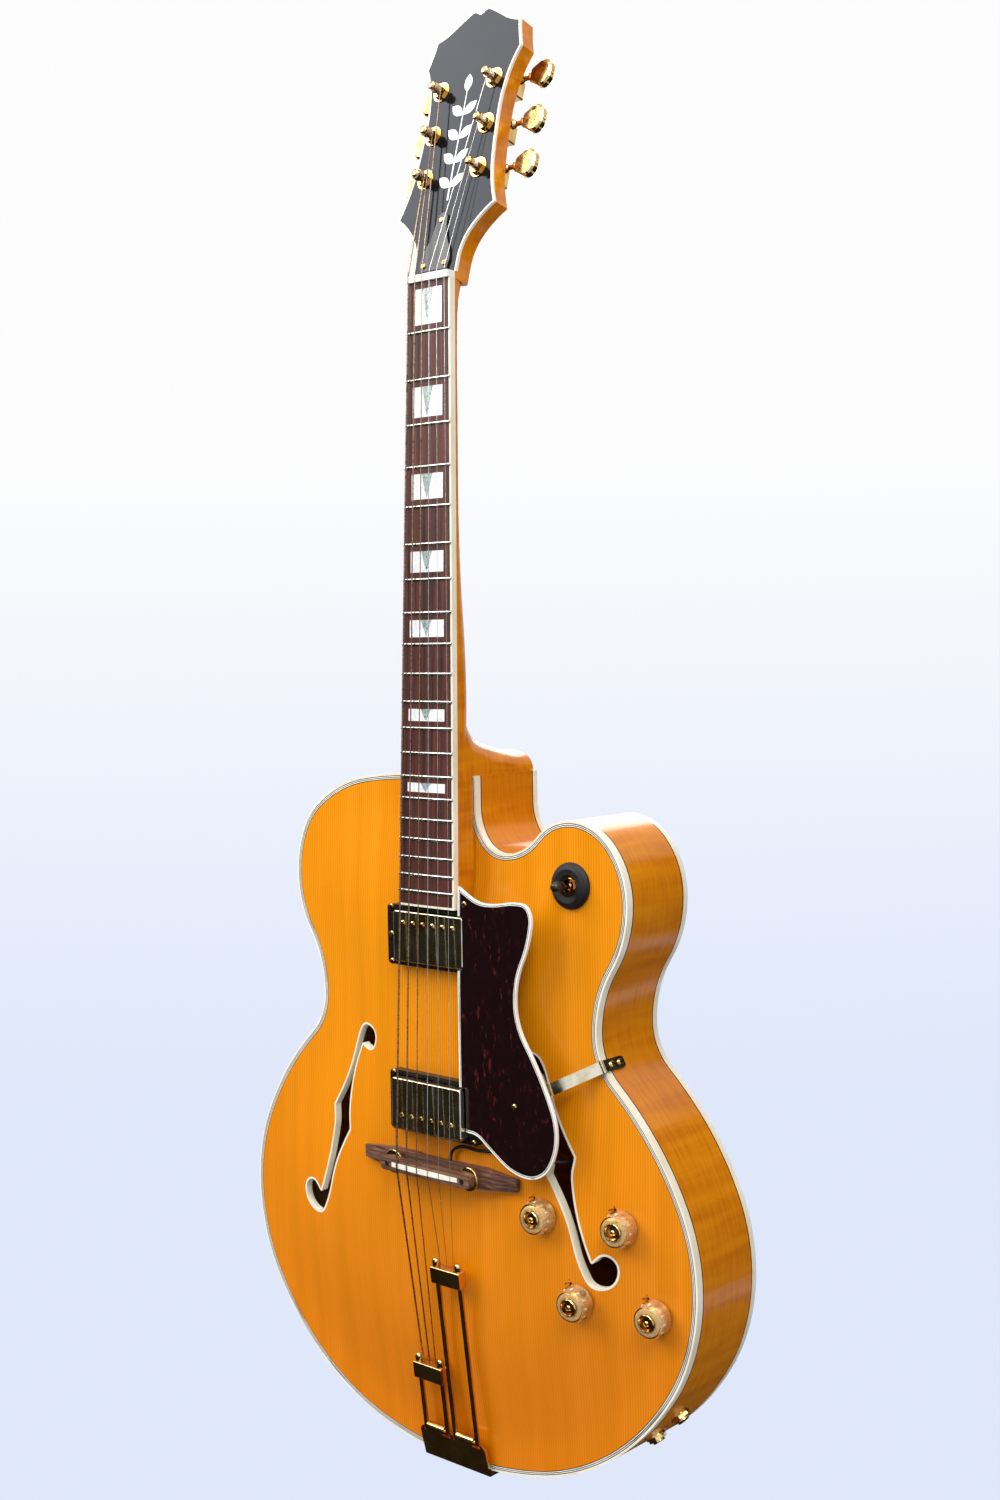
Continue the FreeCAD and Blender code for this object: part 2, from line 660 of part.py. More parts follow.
def make_body():
    """Make the plates, rim, linings, blocks, bars, bindings and purfling."""
    purfling = BINDING_WIDTH + PURFLING_PLY * PURFLING_PLIES
    top = TOP_FACE.extrude(V(0, TOP_THICKNESS, 0)).common(slab(inset(OUTLINE, BINDING_WIDTH), -FAR, FAR))
    top = top.cut(band(OUTLINE, BINDING_WIDTH, purfling, FRONT - CLEAR, FRONT + PURFLING_DEPTH))
    top_slab = TOP_FACE.extrude(V(0, TOP_THICKNESS, 0))
    hole = plan_wire(F_HOLE, 0)
    cut = slab(hole, -FAR, FAR)
    trim = top_slab.common(band(hole, 0, F_BINDING, -FAR, FAR))
    top = top.cut([cut, cut.mirror(V(0, 0, 0), V(1, 0, 0))])
    for name, x, z in KNOB_PLACES:
        shaft_hole = Part.makeCylinder(POT_BUSHING_RADIUS + RUN, 2 * FAR, V(0, 0, -FAR))
        top = top.cut(put(shaft_hole, top_seat(x, z)))
    top = top.cut(put(Part.makeCylinder(SWITCH_BUSHING_RADIUS + RUN, 2 * FAR, V(0, 0, -FAR)),
                      top_seat(SWITCH_X, SWITCH_Z)))
    for z in PICKUP_ZS:
        half_x = COVER_LENGTH / 2 + ROUTE_MARGIN
        half_z = COVER_WIDTH / 2 + ROUTE_MARGIN
        top = top.cut(box(-half_x, half_x, -FAR, FAR, z - half_z, z + half_z))
    NODES["top_plate"] = [top]
    NODES["f_hole_bindings"] = [trim, trim.mirror(V(0, 0, 0), V(1, 0, 0))]
    back = BACK_FACE.extrude(V(0, -BACK_THICKNESS, 0)).common(slab(inset(OUTLINE, BINDING_WIDTH), -FAR, FAR))
    NODES["back_plate"] = [back]
    low = UNDER_TOP + GLUE_GAP
    high = OVER_BACK - GLUE_GAP
    tenon = tenon_box(RUN)
    rim = band(OUTLINE, 0, RIM_WALL, low, high).cut(tenon)
    for start in JACK_FROM:
        rim = rim.cut(put(Part.makeCylinder(JACK_SLEEVE + RUN, FAR / 4, V(0, 0, -FAR / 8)), rim_seat(start)))
    NODES["rim_sides"] = [rim]
    inside = slab(inset(OUTLINE, RIM_WALL), low, high)
    block_low = BODY_LENGTH - NECK_BLOCK_LENGTH
    neck_block = box(-NECK_BLOCK_HALF, NECK_BLOCK_HALF, low, high, block_low, BODY_LENGTH)
    tail_block = box(-TAIL_BLOCK_HALF, TAIL_BLOCK_HALF, low, high, 0, TAIL_BLOCK_LENGTH)
    NODES["end_blocks"] = [neck_block.common(inside).cut(tenon), tail_block.common(inside)]
    rings = []
    for y in (low, high - LINING_HEIGHT):
        ring = band(OUTLINE, RIM_WALL, RIM_WALL + LINING_WIDTH, y, y + LINING_HEIGHT)
        rings.append(ring.cut([neck_block, tail_block]))
    NODES["linings"] = rings
    bars = []
    under = TOP_FACE.copy()
    under.translate(V(0, TOP_THICKNESS, 0))
    under = under.extrude(V(0, TONE_BAR_DEPTH, 0))
    for side in (-1, 1):
        middle = side * TONE_BAR_X
        half = TONE_BAR_WIDTH / 2
        bar = box(middle - half, middle + half, -FAR, FAR, TONE_BAR_LOW_Z, TONE_BAR_HIGH_Z)
        bars.append(under.common(bar))
    NODES["tone_bars"] = bars
    NODES["body_bindings"] = [band(OUTLINE, 0, BINDING_WIDTH, FRONT, UNDER_TOP),
                              band(OUTLINE, 0, BINDING_WIDTH, OVER_BACK, BACK)]
    plies = []
    for ply in range(PURFLING_PLIES):
        start = BINDING_WIDTH + ply * PURFLING_PLY
        plies.append(band(OUTLINE, start, start + PURFLING_PLY, FRONT, FRONT + PURFLING_DEPTH))
    NODES["top_purfling"] = plies


def tenon_box(gap):
    """Return the neck's tenon, or with a gap the mortise for it."""
    half = TENON_HALF + gap
    return box(-half, half, UNDER_TOP + TENON_INSET - gap, OVER_BACK - TENON_INSET + gap,
               BODY_LENGTH - TENON_LENGTH - gap, BODY_LENGTH + CLEAR)


def rounded(points):
    """Return a closed wire of a smooth curve through points and a straight closing side."""
    curve = Part.BSplineCurve()
    curve.interpolate(points)
    return Part.Wire([curve.toShape(), Part.LineSegment(points[-1], points[0]).toShape()])


def half_round(power):
    """Return the (across, down) points of a half round, from 1 across to -1, squarer for a higher power."""
    points = []
    for i in range(SECTION_POINTS + 1):
        turn = math.pi * i / SECTION_POINTS
        across = math.cos(turn)
        points.append((math.copysign(abs(across) ** (2 / power), across), math.sin(turn) ** (2 / power)))
    return points


def board_half(z):
    """Return half the fingerboard's width at a place along the neck."""
    return (NUT_WIDTH + (BOARD_END_WIDTH - NUT_WIDTH) * (NUT_Z - z) / BOARD_LENGTH) / 2


def neck_wire(z, depth, power):
    """Return a section of the neck's shaft."""
    half = board_half(z)
    return rounded([V(half * a, BOARD_THICKNESS + depth * d, z) for a, d in half_round(power)])


def heel_wire(y, reach, half):
    """Return a level section of the heel, flat against the body."""
    return rounded([V(half * a, y, BODY_LENGTH + reach * d) for a, d in half_round(NECK_ROUNDNESS)])


def head_slab(nodes, edge_inset, y0, y1):
    """Return the headstock's outline between two depths, in its own frame."""
    return slab(inset(plan_wire(nodes, 0), edge_inset), y0, y1)


def make_neck():
    """Make the neck with its heel and headstock, the veneer and the truss rod."""
    head_nodes = mirrored(HEAD_EDGE)
    top_z = NUT_Z + NUT_LENGTH
    near_nut = NUT_Z - 2 * NUT_LENGTH
    shaft = Part.makeLoft([
        neck_wire(-SHAFT_OVERLAP, NECK_DEPTH_JOINT, NECK_ROUNDNESS),
        neck_wire(NUT_Z / 3, NECK_DEPTH_JOINT, NECK_ROUNDNESS),
        neck_wire(near_nut, NECK_DEPTH_NUT, NECK_ROUNDNESS),
        neck_wire(top_z, NECK_DEPTH_NUT, NECK_SQUARE)], True)
    shaft_back = FRONT - BOARD_LIFT + BOARD_THICKNESS + NECK_DEPTH_JOINT
    drop = BACK - HEEL_FOOT - shaft_back
    sections = [heel_wire(shaft_back + share * drop, reach, half) for share, reach, half in HEEL_SECTIONS]
    heel = Part.makeLoft(sections, True)
    end_z = BOARD_END_Z + EXTENSION_END_GAP
    end_half = board_half(end_z)
    joint_half = board_half(0)
    edge = [V(-end_half, BOARD_THICKNESS, end_z), V(end_half, BOARD_THICKNESS, end_z),
            V(joint_half, BOARD_THICKNESS, SHAFT_OVERLAP), V(-joint_half, BOARD_THICKNESS, SHAFT_OVERLAP)]
    extension = put(Part.Face(Part.makePolygon(edge + edge[:1])).extrude(V(0, BOARD_LIFT, 0)), NECK)
    gap = BEHIND_TOP.copy()
    gap.translate(V(0, -EXTENSION_GAP, 0))
    extension = extension.cut([gap, box(-FAR, FAR, -FAR, FAR, BODY_LENGTH, BODY_LENGTH + FAR)])
    core = put(head_slab(head_nodes, 0, VENEER, VENEER + HEAD_THICKNESS), HEAD)
    below = box(-FAR, FAR, -FAR, FAR, BODY_LENGTH - FAR, BODY_LENGTH)
    shaft = put(shaft, NECK).cut(below)
    neck = shaft.fuse([heel, extension, core, tenon_box(0)])
    rod_low = V(0, TRUSS_DEPTH, TRUSS_LOW_Z)
    rod_high = V(0, TRUSS_DEPTH, top_z + TRUSS_NUT_Z)
    truss = rod(TRUSS_RADIUS, rod_low, rod_high)
    nut_end = rod_high + V(0, 0, TRUSS_NUT_LENGTH)
    truss = truss.fuse(put(hexagon(TRUSS_NUT_RADIUS, 0, TRUSS_NUT_LENGTH), Placement(rod_high, Rotation())))
    channel = rod(TRUSS_RADIUS + RUN, rod_low, nut_end)
    pocket = put(box(-POCKET_HALF, POCKET_HALF, -CLEAR, POCKET_DEPTH, POCKET_LOW, POCKET_TOP), HEAD)
    holes = [put(rod(BUSHING_RADIUS + RUN, V(side * POST_X, -FAR / 4, z), V(side * POST_X, FAR / 4, z)), HEAD)
             for side in (-1, 1) for z in POST_HEIGHTS]
    NODES["neck"] = [neck.cut([put(channel, NECK), pocket] + holes).removeSplitter()]
    NODES["truss_rod"] = [put(truss, NECK)]
    start = put(box(-FAR, FAR, -FAR, FAR, -FAR, HEAD_START), HEAD)
    veneer = put(head_slab(head_nodes, HEAD_BINDING, 0, VENEER), HEAD).cut([start, pocket, shaft] + holes)
    NODES["headstock_veneer"] = [veneer]
    outer = put(head_slab(head_nodes, 0, 0, VENEER), HEAD)
    inner = put(head_slab(head_nodes, HEAD_BINDING, -CLEAR, VENEER + CLEAR), HEAD)
    NODES["neck_bindings"] = [outer.cut([inner, start, shaft])]
    cover = put(head_slab(mirrored(COVER_EDGE), 0, -COVER_THICKNESS, 0), HEAD)
    NODES["truss_rod_cover"] = [cover]


def make_fingerboard():
    """Make the board with its binding, frets and inlays, and the nut."""
    def plan(margin, z0, z1):
        corners = [V(-board_half(z0) + margin, 0, z0), V(board_half(z0) - margin, 0, z0),
                   V(board_half(z1) - margin, 0, z1), V(-board_half(z1) + margin, 0, z1)]
        face = Part.Face(Part.makePolygon(corners + corners[:1]))
        face.translate(V(0, -CLEAR, 0))
        return face.extrude(V(0, BOARD_THICKNESS + CLEAR, 0))

    def crown(radius):
        return Part.makeCylinder(radius, 2 * SCALE, V(0, BOARD_RADIUS, -SCALE))

    whole = plan(0, BOARD_END_Z, NUT_Z).common(crown(BOARD_RADIUS))
    board = plan(BOARD_BINDING, BOARD_END_Z + BOARD_BINDING, NUT_Z).common(crown(BOARD_RADIUS))
    binding = whole.cut(board)
    frets = []
    for number in range(1, FRETS + 1):
        z = fret_z(number)
        half = FRET_WIDTH / 2
        tang = TANG_WIDTH / 2
        corners = [V(0, 0, z + half), V(0, 0, z + tang), V(0, TANG_DEPTH, z + tang),
                   V(0, TANG_DEPTH, z - tang), V(0, 0, z - tang), V(0, 0, z - half)]
        edges = [Part.LineSegment(a, b).toShape() for a, b in zip(corners, corners[1:])]
        edges.append(Part.Arc(corners[-1], V(0, -FRET_CROWN, z), corners[0]).toShape())
        face = Part.Face(Part.Wire(edges))
        sweep = 2 * math.degrees(math.asin((board_half(z) - CLEAR) / BOARD_RADIUS))
        centre = V(0, BOARD_RADIUS, 0)
        face.rotate(centre, V(0, 0, 1), -sweep / 2)
        frets.append(face.revolve(centre, V(0, 0, 1), sweep))
    pearl = []
    abalone = []
    skin = crown(BOARD_RADIUS).cut(crown(BOARD_RADIUS - INLAY_DEPTH))
    for space in INLAY_SPACES:
        low = fret_z(space)
        high = fret_z(space - 1)
        half_z = max(high - low - 2 * INLAY_FRET_MARGIN, INLAY_LEAST_HEIGHT) / 2
        middle = (low + high) / 2
        half_x = board_half(middle) - INLAY_SIDE_MARGIN
        block = box(-half_x, half_x, -CLEAR, 2 * INLAY_DEPTH, middle - half_z, middle + half_z).common(skin)
        corners = [V(-WEDGE_WIDTH / 2, -CLEAR, middle + half_z), V(0, -CLEAR, middle - half_z),
                   V(WEDGE_WIDTH / 2, -CLEAR, middle + half_z)]
        wedge = Part.Face(Part.makePolygon(corners + corners[:1])).extrude(V(0, 3 * INLAY_DEPTH, 0))
        pearl += block.cut(wedge).Solids
        abalone += block.common(wedge).Solids
    board = board.cut(pearl + abalone + frets)
    binding = binding.cut(frets)
    NODES["fingerboard"] = [put(board, NECK)]
    NODES["neck_bindings"].append(put(binding, NECK))
    NODES["frets"] = [put(fret, NECK) for fret in frets]
    NODES["pearl_blocks"] = [put(piece, NECK) for piece in pearl]
    NODES["abalone_wedges"] = [put(piece, NECK) for piece in abalone]
    nut_top = -FRET_CROWN - STRING_OVER_FRET - max(STRING_WIDTHS) / 2
    nut = box(-NUT_WIDTH / 2, NUT_WIDTH / 2, nut_top, BOARD_THICKNESS, NUT_Z, NUT_Z + NUT_LENGTH)
    for number, width in enumerate(STRING_WIDTHS):
        x = (0.5 - number / 5) * NUT_SPAN
        half = width / 2 + NUT_SLOT_GAP
        floor = board_drop(x) - FRET_CROWN - STRING_OVER_FRET
        nut = nut.cut(box(x - half, x + half, -FAR, floor, NUT_Z - CLEAR, NUT_Z + 2 * NUT_LENGTH))
    NODES["nut"] = [put(nut, NECK)]


def winding(width, side):
    """Return the wire's turns round a post that runs along Y, and print its least gap to itself."""
    radius = POST_RADIUS + width / 2 + RUN
    pitch = width + WINDING_PITCH_GAP
    quarters = 4 * WINDING_TURNS

    def at(quarter):
        turn = math.pi / 2 * quarter
        y = -WINDING_START - width / 2 - pitch * quarter / 4
        place = V(-side * radius * math.cos(turn), y, radius * math.sin(turn))
        ahead = V(side * radius * math.sin(turn), -pitch / (2 * math.pi), radius * math.cos(turn))
        ahead.normalize()
        return place, ahead

    edges = []
    for quarter in range(quarters):
        a, ta = at(quarter)
        b, tb = at(quarter + 1)
        edges += biarc(a, ta, b, tb)
    first, along = at(0)
    last, onward = at(quarters)
    edges.insert(0, Part.LineSegment(first - along * width, first).toShape())
    edges.append(Part.LineSegment(last, last + onward * width).toShape())
    path = Part.Wire(edges)
    points = path.discretize(Distance=MEASURE_STEP)
    apart = round(NEIGHBOUR_TURN * 2 * math.pi * radius / (path.Length / (len(points) - 1)))
    gap = min((p - q).Length for i, p in enumerate(points) for q in points[i + apart:]) - width
    ring = Part.Wire([Part.Circle(first - along * width, along, width / 2).toShape()])
    solid = path.makePipeShell([ring], True, False).Solids[0]
    share = solid.Volume / (math.pi * width * width / 4 * path.Length)
    print("winding", width, "gap to itself", round(gap, 3), "volume over section and length", round(share, 3))
    return solid


def make_tuners():
    """Make the six tuners: housings with bushings, and each post and button in a node of its own."""
    back = VENEER + HEAD_THICKNESS
    centre = GEAR_RADIUS + WORM_RADIUS + WORM_GAP
    shaft_y = back + HOUSING_DEPTH / 2
    housings = []
    for number, width in enumerate(STRING_WIDTHS):
        side, height = tuner_place(number)
        place = HEAD.multiply(Placement(V(side * POST_X, 0, height), Rotation()))
        top = centre + WORM_RADIUS + CLEAR + HOUSING_WALL
        case = box(-HOUSING_HALF, HOUSING_HALF, back, back + HOUSING_DEPTH, -HOUSING_BELOW, top)
        case = case.makeFillet(HOUSING_EDGE, [e for e in case.Edges if e.CenterOfMass.y > back + CLEAR])
        wall = HOUSING_WALL
        inner = HOUSING_HALF - wall
        case = case.cut(box(-inner, inner, back + wall, back + HOUSING_DEPTH - wall,
                            wall - HOUSING_BELOW, top - wall))
        out = side * (HOUSING_HALF + CLEAR)
        case = case.cut(rod(SHAFT_RADIUS + RUN, V(0, shaft_y, centre), V(out, shaft_y, centre)))
        case = case.cut(rod(POST_RADIUS + RUN, V(0, 0, 0), V(0, back + HOUSING_DEPTH / 2, 0)))
        outward = Placement(V(0, 0, 0), Rotation(V(1, 0, 0), 90))
        hex_low = WASHER_THICKNESS
        bush = Part.makeCylinder(BUSHING_RADIUS, BUSHING_LENGTH + hex_low, V(0, 0, -BUSHING_LENGTH))
        bush = bush.fuse([Part.makeCylinder(WASHER_RADIUS, WASHER_THICKNESS),
                          hexagon(BUSHING_HEX, hex_low, hex_low + BUSHING_HEX_HEIGHT)])
        bore_low = V(0, 0, -BUSHING_LENGTH - CLEAR)
        bush = bush.cut(Part.makeCylinder(POST_RADIUS + RUN, 2 * BUSHING_LENGTH, bore_low))
        housings += [put(case, place), put(bush, place.multiply(outward))]
        gear_y = shaft_y - GEAR_THICKNESS / 2
        post = rod(POST_RADIUS, V(0, -POST_TIP, 0), V(0, shaft_y + GEAR_THICKNESS / 2, 0))
        post = post.fuse(rod(GEAR_RADIUS, V(0, gear_y, 0), V(0, gear_y + GEAR_THICKNESS, 0)))
        NODES["tuner_post_%d" % (number + 1)] = [put(post, place), put(winding(width, side), place)]
        worm = rod(WORM_RADIUS, V(-WORM_LENGTH / 2, shaft_y, centre), V(WORM_LENGTH / 2, shaft_y, centre))
        shaft = rod(SHAFT_RADIUS, V(0, shaft_y, centre), V(side * BUTTON_START, shaft_y, centre))
        root = side * BUTTON_START
        tip = side * (BUTTON_START + BUTTON_LENGTH)
        shoulder = side * (BUTTON_START + BUTTON_LENGTH - 2 * BUTTON_EDGE)
        tip_half = BUTTON_WIDTH - 2 * BUTTON_EDGE
        y0 = shaft_y - BUTTON_THICKNESS / 2
        corners = [V(root, y0, centre - BUTTON_ROOT), V(shoulder, y0, centre - BUTTON_WIDTH),
                   V(tip, y0, centre - tip_half), V(tip, y0, centre + tip_half),
                   V(shoulder, y0, centre + BUTTON_WIDTH), V(root, y0, centre + BUTTON_ROOT)]
        key = Part.Face(Part.makePolygon(corners + corners[:1])).extrude(V(0, BUTTON_THICKNESS, 0))
        key = key.makeFillet(BUTTON_EDGE, key.Edges)
        NODES["tuner_button_%d" % (number + 1)] = [put(shaft.fuse([worm, key]), place)]
    NODES["tuner_housings"] = housings


def make_pickups():
    """Make the pickup rings, covers, coils and their screws."""
    rings = []
    covers = []
    coils = []
    screws = []
    half_x = COVER_LENGTH / 2
    half_z = COVER_WIDTH / 2
    for z, top, ring_top, pole in zip(PICKUP_ZS, COVER_TOPS, RING_TOPS, POLE_OFFSETS):
        y = FRONT - top
        cover = box(-half_x, half_x, y, y + COVER_DEPTH, z - half_z, z + half_z)
        cover = cover.makeFillet(COVER_CORNER, edges_in_depth(cover))
        cover = cover.makeFillet(COVER_FILLET, [e for e in cover.Edges if e.BoundBox.YMax < y + CLEAR])
        wall = COVER_WALL
        cover = cover.cut(box(wall - half_x, half_x - wall, y + wall, y + COVER_DEPTH + CLEAR,
                              z - half_z + wall, z + half_z - wall))
        edge = wall + COIL_GAP
        coil = box(edge - half_x, half_x - edge, y + wall, y + wall + COIL_DEPTH,
                   z - half_z + edge, z + half_z - edge)
        for i in range(6):
            place = facing((i / 5 - 0.5) * POLE_SPAN, top, z + pole)
            pin = screw(POLE_LENGTH, POLE_HEAD_RADIUS, POLE_HEAD_HEIGHT, POLE_RADIUS)
            hole = put(Part.makeCylinder(POLE_RADIUS + RUN, 2 * FAR, V(0, 0, -FAR)), place)
            cover = cover.cut(hole)
            coil = coil.cut(hole)
            screws.append(put(pin, place))
        ring_y = FRONT - ring_top
        ring_half_x = RING_LENGTH / 2
        ring_half_z = RING_WIDTH / 2
        ring = box(-ring_half_x, ring_half_x, ring_y, FRONT, z - ring_half_z, z + ring_half_z)
        ring = ring.makeFillet(RING_CORNER, edges_in_depth(ring))
        gap = RING_CLEARANCE
        window = box(-half_x - gap, half_x + gap, -FAR, FAR, z - half_z - gap, z + half_z + gap)
        ring = ring.cut([window, BEHIND_TOP])
        inner_x = (half_x + gap + ring_half_x) / 2
        inner_z = (half_z + gap + ring_half_z) / 2 - gap
        for x, dz in [(sx * inner_x, sz * inner_z) for sx in (-1, 1) for sz in (-1, 0, 1)]:
            ring_screw = put(screw(RING_SCREW_LENGTH), facing(x, ring_top, z + dz))
            ring = ring.cut(ring_screw)
            screws.append(ring_screw)
        rings.append(ring)
        covers.append(cover)
        coils.append(coil)
    NODES["pickup_rings"] = rings
    NODES["pickup_covers"] = covers
    NODES["pickup_coils"] = coils
    NODES["screws"] = screws


def make_controls():
    """Make the knobs with their shafts, the potentiometers, the switch and the output jacks."""
    pots = []
    low = -TOP_THICKNESS - CLEAR
    lift = KNOB_LIFT
    for name, x, z in KNOB_PLACES:
        place = top_seat(x, z)
        top = lift + KNOB_HEIGHT
        floor = lift + KNOB_HOLLOW
        shaft_low = low - POT_DEPTH / 2
        edge = KNOB_EDGE
        knob = turned([(0, shaft_low), (POT_SHAFT_RADIUS, shaft_low), (POT_SHAFT_RADIUS, floor),
                       (KNOB_HOLLOW_RADIUS, floor), (KNOB_HOLLOW_RADIUS, lift), (KNOB_RADIUS, lift),
                       (KNOB_RADIUS, lift + edge), (KNOB_TOP_RADIUS, top - edge),
                       (KNOB_TOP_RADIUS - edge, top), (KNOB_DISH_RADIUS, top),
                       (KNOB_DISH_RADIUS - edge, top - KNOB_DISH), (KNOB_BOSS_RADIUS, top - KNOB_DISH),
                       (KNOB_BOSS_TOP_RADIUS, top - edge), (0, top - edge)])
        NODES[name] = [put(knob, place)]
        bore = POT_SHAFT_RADIUS + RUN
        bore_low = shaft_low - CLEAR
        body = turned([(bore, bore_low), (bore, POT_BUSHING_TOP), (POT_BUSHING_RADIUS, POT_BUSHING_TOP),
                       (POT_BUSHING_RADIUS, low), (POT_RADIUS, low), (POT_RADIUS, low - POT_DEPTH),
                       (0, low - POT_DEPTH), (0, bore_low)])
        hole = Part.makeCylinder(POT_BUSHING_RADIUS, FAR, V(0, 0, -FAR / 2))
        turn = math.radians(POINTER_ANGLE)
        ahead = V(math.cos(turn), math.sin(turn), 0)
        across = V(-math.sin(turn), math.cos(turn), 0) * POINTER_HALF
        sink = V(0, 0, -SEAT_SINK)
        tip = ahead * POINTER_REACH + sink
        root = ahead * POINTER_ROOT + sink
        thick = POINTER_THICKNESS + SEAT_SINK
        tongue = Part.Face(Part.makePolygon([tip, root + across, root - across, tip])).extrude(V(0, 0, thick))
        pointer = Part.makeCylinder(POINTER_RADIUS, thick, sink).fuse(tongue).cut(hole)
        nut = hexagon(POT_NUT_RADIUS, POINTER_THICKNESS, POINTER_THICKNESS + POT_NUT_HEIGHT).cut(hole)
        pots += [put(body, place), put(pointer, place).cut(BEHIND_TOP), put(nut, place)]
    NODES["potentiometers"] = pots
    place = top_seat(SWITCH_X, SWITCH_Z)
    nut_gap = SWITCH_NUT_RADIUS + CLEAR
    section = [(SWITCH_RING_RADIUS * r, SWITCH_RING_HEIGHT * h) for r, h in SWITCH_RING_SECTION]
    ring = turned([(nut_gap, -SEAT_SINK), (SWITCH_RING_RADIUS, -SEAT_SINK)] + section
                  + [(nut_gap, SWITCH_RING_INNER_SHARE * SWITCH_RING_HEIGHT)])
    NODES["switch_ring"] = [put(ring, place).cut(BEHIND_TOP)]
    nut = turned([(SWITCH_BUSHING_RADIUS, -SEAT_SINK), (SWITCH_NUT_RADIUS, -SEAT_SINK),
                  (SWITCH_NUT_RADIUS, SWITCH_NUT_HEIGHT), (SWITCH_BUSHING_RADIUS, SWITCH_NUT_HEIGHT)])
    bush = Part.makeCylinder(SWITCH_BUSHING_RADIUS, SWITCH_BUSHING_TOP - low, V(0, 0, low))
    frame = box(-SWITCH_BOX_HALF, SWITCH_BOX_HALF, -SWITCH_BOX_LENGTH, SWITCH_BOX_LENGTH,
                low - SWITCH_BOX_DEPTH, low)
    floor = low - LEVER_TAIL
    bore = Part.makeCylinder(SWITCH_BORE, FAR, V(0, 0, floor))
    pin_hole = rod(PIVOT_RADIUS + RUN, V(-SWITCH_BUSHING_RADIUS, 0, 0), V(SWITCH_BUSHING_RADIUS, 0, 0))
    frame = frame.fuse(bush).cut([bore, pin_hole])
    NODES["switch_body"] = [put(frame, place), put(nut, place).cut(BEHIND_TOP)]
    tip_low = LEVER_REACH - TIP_LENGTH
    tail = floor / 2
    section = [(TIP_RADIUS * r, tip_low + TIP_LENGTH * h) for r, h in TIP_SECTION]
    lever = turned([(0, tail), (LEVER_RADIUS, tail), (LEVER_RADIUS, tip_low)] + section + [(0, LEVER_REACH)])
    pin = rod(PIVOT_RADIUS, V(-PIVOT_HALF, 0, 0), V(PIVOT_HALF, 0, 0))
    NODES["switch_lever"] = [put(lever.fuse([Part.makeSphere(SWITCH_BALL), pin]), place)]
    jacks = []
    for start in JACK_FROM:
        place = rim_seat(start)
        inner = -RIM_WALL - CLEAR
        body = turned([(JACK_BORE, inner - JACK_BODY_LENGTH), (JACK_BODY_RADIUS, inner - JACK_BODY_LENGTH),
                       (JACK_BODY_RADIUS, inner), (JACK_SLEEVE, inner), (JACK_SLEEVE, JACK_REACH),
                       (JACK_BORE, JACK_REACH)])
        hole = Part.makeCylinder(JACK_SLEEVE, FAR)
        washer = Part.makeCylinder(JACK_WASHER_RADIUS, JACK_WASHER).cut(hole)
        nut = hexagon(JACK_HEX, JACK_WASHER, JACK_WASHER + JACK_HEX_HEIGHT).cut(hole)
        jacks += [put(piece, place) for piece in (body, washer, nut)]
    NODES["output_jacks"] = jacks


